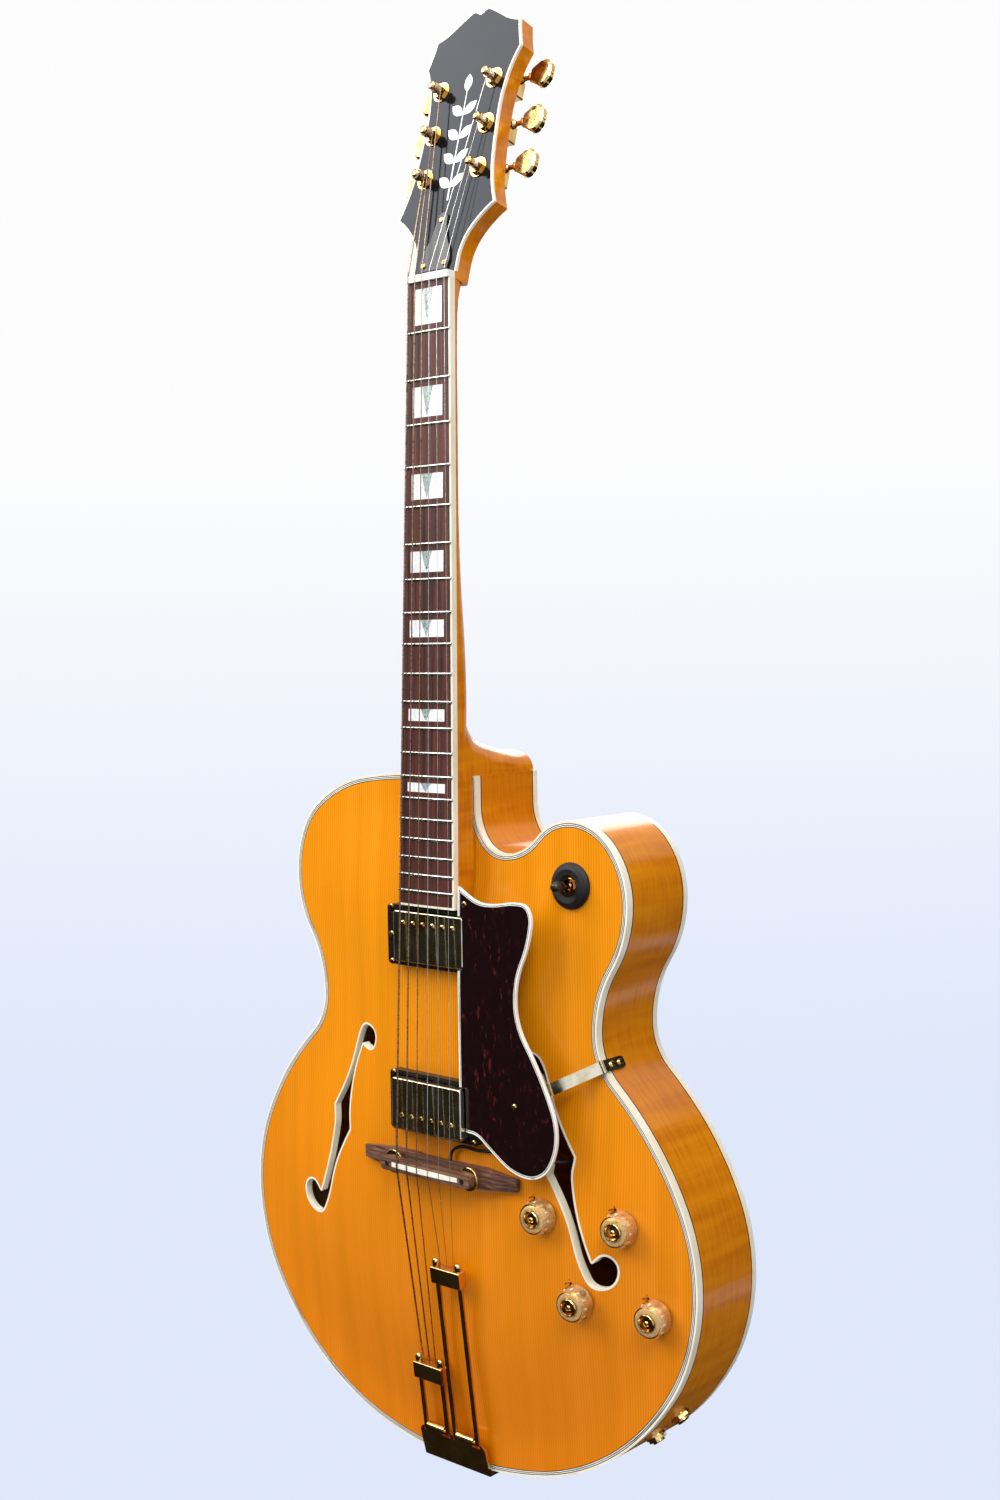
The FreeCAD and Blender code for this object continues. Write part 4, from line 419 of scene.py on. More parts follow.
@cache
def dry_rosewood(streak):
    # Sanded rosewood of the bridge: lighter and drier than the board, with dark open pores along it.
    stops = ((0.38, "#331B12"), (0.5, "#63402D"), (0.62, "#8B624A"))
    wide = tuple(3 * size for size in streak)
    return grained("sanded_rosewood", {"Roughness": 0.55, "IOR": 1.5}, stops, streak, wide, 0.35, 0.0002)


@cache
def raw_spruce():
    # Planed spruce and basswood inside the body: pale, dry and straight-grained.
    stops = ((0.36, "#B98F5A"), (0.64, "#D8B681"))
    return grained("raw_spruce", {"Roughness": 0.7}, stops,
                   (0.002, 0.002, 0.06), (0.03, 0.03, 0.1), 0.3, 0.00008)


@cache
def cream_celluloid():
    # Aged celluloid binding: warm cream that yellows unevenly, polished with the body.
    c = bpy.context.scene.archtop_colours
    return mottled("cream_celluloid", {"IOR": 1.5}, ((0.35, "#E5DABE"), (0.6, c.cream)),
                   (0.03, 0.03, 0.05), (0.14, 0.26))


@cache
def white_ply():
    # White celluloid ply of the edge lines: brighter than the binding, a little yellowed.
    return mottled("white_celluloid_ply", {"IOR": 1.5}, ((0.35, "#E9E4D6"), (0.6, "#F6F3EA")),
                   (0.02, 0.02, 0.04), (0.2, 0.3))


@cache
def black_ply():
    # Black fibre ply of the edge lines: plain dark line that takes the lacquer's gloss.
    return mottled("black_fibre_ply", {"IOR": 1.5}, ((0.35, "#100F0E"), (0.6, "#201E1C")),
                   (0.02, 0.02, 0.04), (0.28, 0.4))


@cache
def gold_plate():
    # Polished gold plate on brass: pale, bright reflections with a slight haze from handling.
    c = bpy.context.scene.archtop_colours
    return mottled("gold_plate", {"Metallic": 1.0}, ((0.36, "#C99A58"), (0.6, c.gold)),
                   (0.012, 0.012, 0.02), (0.06, 0.16))


@cache
def worn_gold():
    # Gold plate on the pickups and the bracket, tinted pale and nearly silver as a painted reflection of the
    # white room, warmer in patches.
    return mottled("pale_gold_plate", {"Metallic": 1.0}, ((0.36, "#D3C391"), (0.6, "#EFE8D0")),
                   (0.012, 0.012, 0.02), (0.08, 0.18))


@cache
def gold_paint():
    # Gold paint behind the clear plastic of the knobs: fine metal flakes that spread every reflection.
    return mottled("gold_paint", {"Metallic": 0.65}, ((0.36, "#D8AE74"), (0.6, "#F0D4A2")),
                   (0.001, 0.001, 0.001), (0.26, 0.36), 0.00001)


@cache
def nickel_silver():
    # Nickel silver fret wire and plain steel: cool grey metal, polished along its length.
    return mottled("nickel_silver", {"Metallic": 1.0}, ((0.36, "#B9B7B1"), (0.6, "#D6D4CE")),
                   (0.004, 0.004, 0.004), (0.16, 0.28))


@cache
def mother_of_pearl():
    # Cut mother-of-pearl: white with cloudy bands that go to pale blue and rose.
    stops = ((0.36, "#CFDDE8"), (0.48, "#F7F6F1"), (0.56, "#E9DEE2"), (0.66, "#F3F4EC"))
    return mottled("mother_of_pearl", {"IOR": 1.53, "Sheen Weight": 0.15},
                   stops, (0.008, 0.008, 0.005), (0.12, 0.26), 0.0, 3.0, 1.2)


@cache
def abalone():
    # Cut abalone: swirls of green, blue-grey and rose between dark veins.
    stops = ((0.34, "#2F3F42"), (0.44, "#7FA294"), (0.5, "#C9D3BE"), (0.56, "#6F86A0"), (0.66, "#C4A7B0"))
    return mottled("abalone", {"IOR": 1.53}, stops, (0.004, 0.004, 0.004), (0.12, 0.26), 0.0, 4.0, 2.0)


@cache
def polished_bone():
    # Polished bone: ivory white with faint darker pores along it.
    return mottled("polished_bone", {"IOR": 1.54, "Subsurface Weight": 0.05, "Subsurface Scale": 0.002},
                   ((0.35, "#E4DAC2"), (0.55, "#F4EEDF")), (0.006, 0.0012, 0.0012), (0.25, 0.4), 0.00003)


@cache
def black_lacquer():
    # Black nitro lacquer on the headstock: deep black with a glossy face, faintly wavy from rubbing out.
    values = {"IOR": 1.5, "Specular IOR Level": 0.16, "Specular Tint": linear("#E1E6F6")}
    return mottled("black_lacquer", values, ((0.35, "#0B0B0D"), (0.6, "#141417")),
                   (0.04, 0.04, 0.04), (0.08, 0.14), 0.00001)


@cache
def moulded_plastic():
    # Moulded black plastic: near black with a fine satin texture that shows only close up.
    return mottled("moulded_black_plastic", {"IOR": 1.49}, ((0.35, "#0D0C0C"), (0.6, "#1A1817")),
                   (0.0015, 0.0015, 0.0015), (0.24, 0.36), 0.00002)


@cache
def soft_rubber():
    # Matt black rubber of the switch ring and the bridge's lead: dull, dusty in its pores.
    return mottled("soft_rubber", {"IOR": 1.4}, ((0.35, "#0D0D0D"), (0.6, "#191818")),
                   (0.0012, 0.0012, 0.0012), (0.5, 0.65), 0.00005)


@cache
def tortoise_celluloid():
    # Tortoise celluloid sheet: nearly black ground with sparse, soft red flecks under a polished face.
    c = bpy.context.scene.archtop_colours
    s = bpy.context.scene.archtop_sizes
    stops = ((0.58, c.tortoise), (0.65, "#300E10"), (0.71, c.tortoise_fleck), (0.78, "#2A0C0D"))
    return mottled("tortoise_celluloid", {"IOR": 1.5}, stops,
                   (s.fleck, s.fleck, 2.6 * s.fleck), (0.1, 0.2), 0.0, 3.0, 0.6)


@cache
def clear_acrylic():
    # Clear moulded acrylic of the knobs: a faint amber tint and a glassy face.
    return mottled("clear_acrylic", {"IOR": 1.49, "Transmission Weight": 1.0},
                   ((0.35, "#F9EFD2"), (0.6, "#FDF8EA")), (0.004, 0.004, 0.004), (0.02, 0.06))


@cache
def printed_white():
    # White screen print of the knobs' numbers: opaque ink, slightly uneven.
    return mottled("white_print", {"IOR": 1.5}, ((0.35, "#E6E2D8"), (0.6, "#FAF8F2")),
                   (0.001, 0.001, 0.001), (0.5, 0.6))


@cache
def wound_steel():
    # Wound string: bronze-grey wire round a core, its turns drawn as light and dark bands across the string,
    # a painted highlight on each turn and painted shade between them, over a matching bump.
    # Real turns are about 0.3 mm apart, drawn wider so that they show.
    return mottled("wound_steel", {"Metallic": 1.0}, ((0.36, "#6E5A49"), (0.62, "#B39A80")),
                   (0.02, 0.02, 0.0009), (0.24, 0.4), 0.00006)


class ARCHTOP_OT_lead(bpy.types.Operator):
    """Lays the lead of the bridge's pickup over the top and into the treble f-hole"""

    bl_idname = "archtop.lead"
    bl_label = "Bridge lead"

    # The points of the route, the length and the diameter, in millimetres
    ROUTE = ((13.0, -53.0, 237.1), (13.0, -53.0, 244.0), (24.0, -52.5, 250.0), (40.0, -51.9, 248.0),
             (60.0, -51.15, 251.0), (82.0, -50.0, 247.0), (105.0, -47.9, 250.5), (112.5, -36.6, 249.5),
             (113.5, -24.5, 246.0))
    LENGTH = 125.0
    DIAMETER = 2.4

    def execute(self, context):
        curve = bpy.data.curves.new("bridge_cord", "CURVE")
        curve.dimensions = "3D"
        curve.bevel_depth = self.DIAMETER / 2 * MM
        curve.bevel_resolution = 4
        curve.use_fill_caps = True
        spline = curve.splines.new("NURBS")
        spline.points.add(len(self.ROUTE) - 1)
        for point, place in zip(spline.points, self.ROUTE):
            point.co = (*(Vector(place) * MM), 1.0)
        spline.order_u = 3
        spline.use_endpoint_u = True
        spline.resolution_u = 12
        curve.materials.append(soft_rubber())
        obj = bpy.data.objects.new("bridge_cord", curve)
        context.scene.collection.objects.link(obj)
        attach(obj, "guitar")
        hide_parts("bridge_lead")
        return {"FINISHED"}


class ARCHTOP_OT_body(bpy.types.Operator):
    """Lacquers the arched plates, the rim and the neck, and dresses the wood inside the body"""

    bl_idname = "archtop.body"
    bl_label = "Body and neck woods"

    # Heights along Y and half widths, in millimetres, of the dark lines beside the two edge bindings
    RIM_LINES = ((-28.4, 0.45), (29.4, 0.45))

    def execute(self, context):
        flame = context.scene.archtop_sizes.flame
        dress(spruce_top(), "top_plate")
        dress(flamed_maple("flamed_maple_back", (0.09, 0.1, flame)), "back_plate")
        dress(flamed_maple("flamed_maple_rim", (1.6 * flame, 0.12, 1.6 * flame), self.RIM_LINES), "rim_sides")
        dress(flamed_maple("flamed_maple_neck", (0.06, 0.06, 1.3 * flame)), "neck")
        dress(raw_spruce(), "linings", "end_blocks", "tone_bars")
        return {"FINISHED"}


class ARCHTOP_OT_bindings(bpy.types.Operator):
    """Dresses the cream bindings and lays the black and white plies along the top's edge"""

    bl_idname = "archtop.bindings"
    bl_label = "Bindings and edge plies"

    # Widths of the edge plies, from the outer one in
    WIDTHS = (0.6, 0.6, 0.6, 0.6, 0.6)

    def execute(self, context):
        dress(cream_celluloid(), "body_bindings", "f_hole_bindings", "neck_bindings")
        bm = merged_copy("top_purfling")
        edge = reach(bm.faces, 0)[1]
        for faces in islands(bm):
            lay_ply(faces, edge - reach(faces, 0)[1], self.WIDTHS)
        obj = piece("edge_plies", bm, "guitar", (black_ply(), white_ply()))
        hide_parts("top_purfling")
        return {"FINISHED"}


class ARCHTOP_OT_fingerboard(bpy.types.Operator):
    """Dresses the fingerboard, its frets and inlays, and the nut"""

    bl_idname = "archtop.fingerboard"
    bl_label = "Fingerboard"

    def execute(self, context):
        streak = context.scene.archtop_sizes.streak
        dress(oiled_rosewood("oiled_rosewood_board", (streak, 2 * streak, 40 * streak)), "fingerboard")
        dress(nickel_silver(), "frets", "truss_rod")
        dress(mother_of_pearl(), "pearl_blocks")
        dress(abalone(), "abalone_wedges")
        dress(polished_bone(), "nut", "bridge_saddle")
        return {"FINISHED"}


class ARCHTOP_OT_headstock(bpy.types.Operator):
    """Lacquers the headstock's face and lays a sprig of pearl leaves into it"""

    bl_idname = "archtop.headstock"
    bl_label = "Headstock"

    # Heights of the stem's ends, its radii there, and the share of its width that it is thick
    STEM = (63.0, 150.0)
    STEM_RADII = (0.8, 0.4)
    STEM_FLATNESS = 0.3
    # Heights of the pairs of leaves, and how far the leaves lean to the side
    PAIRS = (78.0, 97.0, 116.0, 135.0)
    LEAN = 52.0
    # A leaf's distance from the stem, beside it and over its top, and its width, as shares of its length
    LEAF_BESIDE = 0.42
    LEAF_OVER = 0.4
    LEAF_WIDTH = 0.5
    LEAF_THICKNESS = 0.3

    def execute(self, context):
        dress(black_lacquer(), "headstock_veneer")
        dress(moulded_plastic(), "truss_rod_cover")
        size = context.scene.archtop_sizes.leaf
        sprig = bmesh.new()
        stem = bmesh.new()
        low, high = self.STEM
        foot, tip = self.STEM_RADII
        bmesh.ops.create_cone(stem, cap_ends=True, segments=16, radius1=foot * MM, radius2=tip * MM,
                              depth=(high - low) * MM)
        flat = Matrix.Diagonal((1, self.STEM_FLATNESS, 1, 1))
        put(sprig, stem, Matrix.Translation((0, 0, (low + high) / 2 * MM)) @ flat)
        leaves = [(side * self.LEAF_BESIDE * size, height * MM, side * self.LEAN)
                  for height in self.PAIRS for side in (-1, 1)]
        thickness = self.LEAF_THICKNESS * MM
        for x, z, turn in leaves + [(0.0, high * MM + self.LEAF_OVER * size, 0.0)]:
            stand = Matrix.Rotation(math.radians(90), 4, "X") @ Matrix.Scale(size, 4)
            turned = Matrix.Rotation(math.radians(turn), 4, "Y")
            place = Matrix.Translation((x, thickness / 2, z))
            put(sprig, self.leaf(thickness / size), place @ turned @ stand)
        sprig.transform(HEAD)
        piece("headstock_sprig", sprig, "guitar", (mother_of_pearl(),))
        return {"FINISHED"}

    def leaf(self, thickness):
        """A flat, pointed leaf of unit length."""
        bm = bmesh.new()
        bmesh.ops.create_circle(bm, cap_ends=True, radius=0.5, segments=32)
        for vert in bm.verts:
            # A leaf is a circle whose ends are drawn out to points
            vert.co.x *= self.LEAF_WIDTH * (1 - abs(2 * vert.co.y) ** 3)
        raised = bmesh.ops.extrude_face_region(bm, geom=bm.faces[:])
        bmesh.ops.translate(bm, vec=(0, 0, thickness), verts=verts_of(raised["geom"]))
        bmesh.ops.remove_doubles(bm, verts=bm.verts, dist=1e-5)
        bmesh.ops.recalc_face_normals(bm, faces=bm.faces)
        return bm


class ARCHTOP_OT_tuners(bpy.types.Operator):
    """Plates the tuners, turns their posts and shapes their buttons"""

    bl_idname = "archtop.tuners"
    bl_label = "Tuners"

    # Radii and distances along the worm's shaft, from the worm to the button
    SHAFT = ((0.0, -4.0), (2.4, -4.0), (2.4, 4.0), (2.0, 4.3), (2.0, 8.4), (3.1, 8.5), (3.3, 9.2),
             (2.7, 10.2), (2.0, 11.0), (2.0, 16.0), (2.9, 16.3), (3.4, 17.2), (3.3, 18.4), (0.0, 18.4))
    # Half widths and distances of the button's corners, and how far each one is rounded
    CORNERS = ((4.8, 18.0), (10.7, 28.4), (9.8, 33.6), (5.4, 37.3))
    ROUNDING = 1.9
    # The button through its thickness: depths, and the share of the plan there about its middle
    SECTION = ((-3.5, 0.78), (-3.5, 0.86), (-3.3, 0.88), (-2.2, 0.99), (-1.9, 1.0), (1.9, 1.0), (2.2, 0.99),
               (3.3, 0.88), (3.5, 0.86), (3.5, 0.78))
    MIDDLE = 28.5
    # The screw in the button's end, with a socket
    SCREW = ((0.0, 37.2), (0.9, 37.2), (0.9, 37.9), (1.7, 37.9), (2.2, 37.5), (2.2, 36.5), (0.0, 36.5))
    # Radii and heights of a post over the headstock's face, with its gear behind it
    POST = ((0.0, -21.75), (4.2, -21.75), (4.2, -17.75), (3.0, -17.75), (3.0, 9.8), (2.5, 10.3), (2.5, 10.7),
            (3.1, 11.2), (3.2, 12.0), (2.7, 12.8), (1.5, 13.2), (0.0, 13.3))

    def execute(self, context):
        gold = gold_plate()
        dress(gold, "tuner_housings", "screws")
        for number in TUNERS:
            self.button(number, gold)
            self.post(number, (gold, wound_steel() if number > PLAIN_STRINGS else nickel_silver()))
        return {"FINISHED"}

    def button(self, number, gold):
        """A button on its worm shaft: a flat keystone with round corners, and a screw in its end."""
        body = f"tuner_button_{number}"
        joint = JOINTS[f"{body}_turn"]
        bm = bmesh.new()
        sides = self.CORNERS + tuple((-half, along) for half, along in reversed(self.CORNERS))
        bm.faces.new([bm.verts.new((half * MM, 0.0, along * MM)) for half, along in sides])
        rounded(bm, bm.verts[:], self.ROUNDING * MM, "VERTICES", 4)
        about_middle = Matrix.Translation((0, 0, -self.MIDDLE * MM))
        layer = bm.faces[:]
        before, share_before = 0.0, 1.0
        for step, (depth, share) in enumerate(self.SECTION):
            if step:
                raised = bmesh.ops.extrude_face_region(bm, geom=layer)["geom"]
                layer = [item for item in raised if isinstance(item, bmesh.types.BMFace)]
            verts = layer[0].verts[:]
            ratio = share / share_before
            bmesh.ops.scale(bm, vec=(ratio, 1, ratio), space=about_middle, verts=verts)
            bmesh.ops.translate(bm, vec=(0, (depth - before) * MM, 0), verts=verts)
            before, share_before = depth, share
        bmesh.ops.recalc_face_normals(bm, faces=bm.faces)
        put(bm, lathe(self.SHAFT, 32), Matrix())
        put(bm, lathe(self.SCREW, 24), Matrix())
        outward = Matrix.Rotation(math.copysign(math.radians(90), joint["axis"][0]), 4, "Y")
        bm.transform(Matrix.Translation(joint["pos_m"]) @ Matrix.Rotation(HEAD_TILT, 4, "X") @ outward)
        obj = piece(f"rounded_button_{number}", bm, body, (gold,), angle=22.0)
        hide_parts(body)

    def post(self, number, materials):
        """A turned post with the string's windings round it."""
        body = f"tuner_post_{number}"
        bm = merged_copy(body)
        bare = min(islands(bm), key=len)
        bmesh.ops.delete(bm, geom=bare, context="FACES")
        for face in bm.faces:
            face.material_index = 1
        put(bm, lathe(self.POST, 32), joint_seat(f"{body}_turn"))
        obj = piece(f"wound_post_{number}", bm, body, materials)
        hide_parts(body)


class ARCHTOP_OT_strings(bpy.types.Operator):
    """Dresses the three plain and the three wound strings"""

    bl_idname = "archtop.strings"
    bl_label = "Strings"

    def execute(self, context):
        bm = merged_copy("strings")
        for number, faces in enumerate(sorted(islands(bm), key=lambda faces: -reach(faces, 0)[1])):
            for face in faces:
                face.material_index = 0 if number < PLAIN_STRINGS else 1
        obj = piece("string_set", bm, "guitar", (nickel_silver(), wound_steel()))
        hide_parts("strings")
        return {"FINISHED"}


class ARCHTOP_OT_pickups(bpy.types.Operator):
    """Dresses the pickups, their rings and coils"""

    bl_idname = "archtop.pickups"
    bl_label = "Pickups"

    def execute(self, context):
        # The covers take the pale tint that paints in the white room's reflection
        dress(worn_gold(), "pickup_covers")
        dress(moulded_plastic(), "pickup_rings", "pickup_coils")
        return {"FINISHED"}


class ARCHTOP_OT_knobs(bpy.types.Operator):
    """Turns the four knobs: a plated cap on a painted body, a clear numbered skirt and a pointer"""

    bl_idname = "archtop.knobs"
    bl_label = "Knobs"

    # Radii and heights over the top: the plated cap with its ridge, dish and boss, the painted body, and the
    # clear skirt over it
    CAP = ((0.0, 15.6), (0.9, 15.5), (1.6, 15.0), (2.1, 14.1), (2.5, 12.9), (4.3, 12.7), (4.8, 13.3),
           (5.1, 15.1), (5.4, 15.6), (5.9, 15.6), (6.2, 15.3), (6.5, 14.4), (6.8, 13.6),
           (6.8, 12.0), (0.0, 12.0))
    BODY = ((0.0, 12.4), (6.2, 12.4), (6.9, 13.7), (9.5, 13.2), (10.0, 12.7), (11.2, 6.5), (11.6, 2.2),
            (11.7, 1.5), (7.7, 1.5), (7.7, 5.7), (0.0, 5.7))
    SKIRT = ((11.85, 1.1), (12.6, 1.1), (12.8, 1.4), (12.8, 2.4), (12.3, 6.6), (11.0, 12.6), (10.7, 13.3),
             (10.2, 13.6), (7.2, 14.2), (7.1, 13.95), (9.7, 13.4), (10.15, 12.8), (11.35, 6.55), (11.75, 2.3),
             (11.85, 1.1))
    # The middle of the skirt's steep side, where the numbers stand, and how far it leans
    SLOPE_RADIUS = 11.72
    SLOPE_HEIGHT = 9.6
    SLOPE_LEAN = 77.8
    # The numbers: how many, where the first stands and the step to the next, in degrees
    NUMBERS = 11
    FIRST_NUMBER = 240
    NUMBER_STEP = 30
    # A font's size for each unit of a digit's height, and how thick and how bold the print is
    FONT_PER_DIGIT = 1.4
    PRINT_DEPTH = 0.03
    PRINT_BOLD = 0.09
    # The pointer's tip: width, thickness and height, its distance from the shaft, its lean, its direction,
    # how far its edges are rounded and how far it stands over the top
    TIP = (2.6, 0.7, 3.6)
    TIP_RADIUS = 14.6
    TIP_LEAN = 12.0
    TIP_ANGLE = 125.0
    TIP_ROUNDING = 0.2
    TIP_LIFT = 0.2
    # The places of the finishes in a knob's core
    PAINT = 0
    PRINT = 1
    PLATE = 2

    def execute(self, context):
        size = context.scene.archtop_sizes.digit
        for name in KNOBS:
            body = f"{name}_knob"
            place = joint_seat(f"{body}_turn")
            core = bmesh.new()
            put(core, lathe(self.CAP), Matrix(), self.PLATE)
            put(core, lathe(self.BODY), Matrix(), self.PAINT)
            for number in range(self.NUMBERS):
                angle = math.radians(self.FIRST_NUMBER - self.NUMBER_STEP * number)
                self.number(core, str(number), size, angle)
            core.transform(place)
            finishes = (gold_paint(), printed_white(), gold_plate())
            obj = piece(f"{name}_knob_core", core, body, finishes)
            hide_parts(body)
            shell = lathe(self.SKIRT, 64)
            shell.transform(place)
            piece(f"{name}_knob_skirt", shell, body, (clear_acrylic(),))
            tip = self.pointer_tip()
            tip.transform(place)
            piece(f"{name}_pointer_tip", tip, "guitar", (gold_plate(),))
        return {"FINISHED"}

    def pointer_tip(self):
        """The end of the pointer under a knob, bent up beside the skirt."""
        width, thickness, height = (size * MM for size in self.TIP)
        bm = bmesh.new()
        bmesh.ops.create_cube(bm, size=1.0)
        bm.transform(Matrix.Diagonal((thickness, width, height, 1)))
        rounded(bm, bm.edges[:], self.TIP_ROUNDING * MM, "EDGES", 2)
        lean = Matrix.Rotation(math.radians(self.TIP_LEAN), 4, "Y")
        out = Matrix.Translation((self.TIP_RADIUS * MM, 0, height / 2 + self.TIP_LIFT * MM))
        bm.transform(Matrix.Rotation(math.radians(self.TIP_ANGLE), 4, "Z") @ out @ lean)
        return bm

    def number(self, target, text, size, angle):
        """Prints a number on the slope of the skirt, with its top towards the middle."""
        curve = bpy.data.curves.new("number", "FONT")
        curve.body = text
        curve.size = size * self.FONT_PER_DIGIT
        curve.align_x = "CENTER"
        curve.align_y = "CENTER"
        curve.extrude = self.PRINT_DEPTH * MM
        curve.offset = self.PRINT_BOLD * MM
        obj = bpy.data.objects.new("number", curve)
        mesh = bpy.data.meshes.new_from_object(obj)
        lean = Matrix.Rotation(math.radians(self.SLOPE_LEAN), 4, "X")
        stand = Matrix.Translation((0, -self.SLOPE_RADIUS * MM, self.SLOPE_HEIGHT * MM)) @ lean
        mesh.transform(Matrix.Rotation(angle + math.radians(90), 4, "Z") @ stand)
        ink = bmesh.new()
        ink.from_mesh(mesh)
        put(target, ink, Matrix(), self.PRINT)
        bpy.data.objects.remove(obj)
        bpy.data.curves.remove(curve)
        bpy.data.meshes.remove(mesh)


class ARCHTOP_OT_controls(bpy.types.Operator):
    """Dresses the switch, the shafts under the knobs and the output jacks, and turns the switch's lever"""

    bl_idname = "archtop.controls"
    bl_label = "Switch, shafts and jacks"

    # Radii and distances from the lever's pivot
    LEVER = ((0.0, -7.8), (1.5, -7.8), (1.7, -4.0), (4.0, -1.6), (4.1, 0.0), (3.4, 2.2), (1.8, 3.6),
             (1.7, 10.0), (0.0, 10.0))
    TIP = ((0.0, 9.0), (2.6, 9.0), (3.3, 9.8), (3.9, 12.0), (4.0, 15.5), (3.6, 18.6), (2.7, 20.2),
           (1.4, 20.9), (0.0, 21.0))

    def execute(self, context):
        dress(gold_plate(), "potentiometers", "switch_body", "output_jacks")
        dress(soft_rubber(), "switch_ring")
        lever = bmesh.new()
        put(lever, lathe(self.LEVER, 32), Matrix(), 0)
        put(lever, lathe(self.TIP, 32), Matrix(), 1)
        lever.transform(seat(JOINTS["switch_throw"]["pos_m"], SWITCH_NORMAL))
        obj = piece("switch_toggle", lever, "switch_lever", (gold_plate(), moulded_plastic()))
        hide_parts("switch_lever")
        return {"FINISHED"}


class ARCHTOP_OT_bridge(bpy.types.Operator):
    """Dresses the bridge and knurls its height wheels"""

    bl_idname = "archtop.bridge"
    bl_label = "Bridge"

    # Radii and heights of a wheel, the radius where its knurl begins, and the knurl's depth and steps
    WHEEL = ((2.05, 0.2), (2.05, 2.4), (2.3, 2.6), (8.2, 2.6), (8.8, 2.35), (9.0, 2.0), (9.0, 0.6),
             (8.8, 0.25), (8.2, 0.0), (2.3, 0.0), (2.05, 0.2))
    KNURL_FROM = 8.7
    KNURL_DEPTH = 0.4
    KNURL_STEPS = 80

    def execute(self, context):
        streak = context.scene.archtop_sizes.streak
        dress(dry_rosewood((30 * streak, streak, streak)), "bridge_base", "bridge_top")
        dress(nickel_silver(), "bridge_studs")
        for side in ("bass", "treble"):
            body = f"thumbwheel_{side}"
            bm = lathe(self.WHEEL, self.KNURL_STEPS)
            for vert in bm.verts:
                turn = math.atan2(vert.co.y, vert.co.x) / math.tau * self.KNURL_STEPS
                radius = vert.co.xy.length
                if radius > self.KNURL_FROM * MM and round(turn) % 2:
                    vert.co.xy *= 1 - self.KNURL_DEPTH * MM / radius
            bm.transform(joint_seat(f"{body}_turn"))
            obj = piece(f"knurled_wheel_{side}", bm, body, (gold_plate(),))
            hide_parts(body)
        return {"FINISHED"}


class ARCHTOP_OT_tailpiece(bpy.types.Operator):
    """Plates the tailpiece and the strap button"""

    bl_idname = "archtop.tailpiece"
    bl_label = "Tailpiece"

    def execute(self, context):
        dress(gold_plate(), "tailpiece_leaf", "bass_fork", "treble_fork", "strap_button")
        return {"FINISHED"}


class ARCHTOP_OT_pickguard(bpy.types.Operator):
    """Dresses the pickguard, lays its edge plies and bends its bracket"""

    bl_idname = "archtop.pickguard"
    bl_label = "Pickguard"

    # Widths of the edge plies, from the outer one in
    WIDTHS = (1.1, 0.5, 0.5, 0.5)
    # Depth and distance from the rim of the bracket's bends, from the guard's screw to the rim's plate
    BENDS = ((-57.8, -73.7), (-57.8, -51.0), (-57.8, -41.7), (-36.9, 0.3), (-35.0, 1.9), (-13.0, 1.9))
    HALF_WIDTH = 4.25
    HALF_SLOT = 1.8
    THICKNESS = 1.6
    ROUNDING = 3.2
    # How near a corner has to be to count as one of the bracket's ends
    MARGIN = 0.1
    # Radii and distances along the hinge's barrel, in three knuckles
    HINGE = ((0.0, -4.5), (1.5, -4.5), (1.5, -1.5), (1.2, -1.4), (1.2, -1.2), (1.5, -1.1), (1.5, 1.1),
             (1.2, 1.2), (1.2, 1.4), (1.5, 1.5), (1.5, 4.5), (0.0, 4.5))
    HINGE_PLACE = (-37.6, 1.9)

    def execute(self, context):
        dress(tortoise_celluloid(), "pickguard")
        bm = merged_copy("pickguard_binding")
        left, right = reach(bm.faces, 0)
        for faces in islands(bm):
            low, high = reach(faces, 0)
            lay_ply(faces, right - high if high > (left + right) / 2 else low - left, self.WIDTHS)
        obj = piece("guard_plies", bm, "guitar", (white_ply(), black_ply()))
        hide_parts("pickguard_binding")
        self.bracket()
        return {"FINISHED"}

    def bracket(self):
        """The slotted strip from the guard to the rim, its hinge at the edge and its plate on the rim."""
        columns = (-self.HALF_WIDTH, -self.HALF_SLOT, self.HALF_SLOT, self.HALF_WIDTH)
        last_column = len(columns) - 1
        last_row = len(self.BENDS) - 1
        bm = bmesh.new()
        bmesh.ops.create_grid(bm, x_segments=last_column, y_segments=last_row, size=0.5)
        for vert in bm.verts:
            depth, out = self.BENDS[round((vert.co.y + 0.5) * last_row)]
            vert.co = Vector((columns[round((vert.co.x + 0.5) * last_column)], depth, out)) * MM
        slot_end = (self.BENDS[1][1] + self.MARGIN) * MM
        slot = [face for face in bm.faces if abs(face.calc_center_median().x) < self.HALF_SLOT * MM / 2
                and all(vert.co.z < slot_end for vert in face.verts)]
        bmesh.ops.delete(bm, geom=slot, context="FACES")
        bmesh.ops.recalc_face_normals(bm, faces=bm.faces)
        bmesh.ops.solidify(bm, geom=bm.faces[:], thickness=self.THICKNESS * MM)
        plate_end = (self.BENDS[-1][0] - self.MARGIN) * MM
        corners = [edge for edge in bm.edges if all(vert.co.y > plate_end for vert in edge.verts)
                   and abs(edge.verts[0].co.x - edge.verts[1].co.x) < MERGE
                   and abs(edge.verts[0].co.x) > (self.HALF_WIDTH - self.MARGIN) * MM]
        rounded(bm, corners, self.ROUNDING * MM, "EDGES", 6)
        depth, out = self.HINGE_PLACE
        along = Matrix.Rotation(math.radians(90), 4, "Y")
        put(bm, lathe(self.HINGE, 24), Matrix.Translation((0, depth * MM, out * MM)) @ along)
        bm.transform(BRACKET)
        # The bracket takes the pale tint that paints in the white room's reflection
        obj = piece("guard_bracket", bm, "guitar", (worn_gold(),), angle=30.0)
        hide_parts("pickguard_strap")


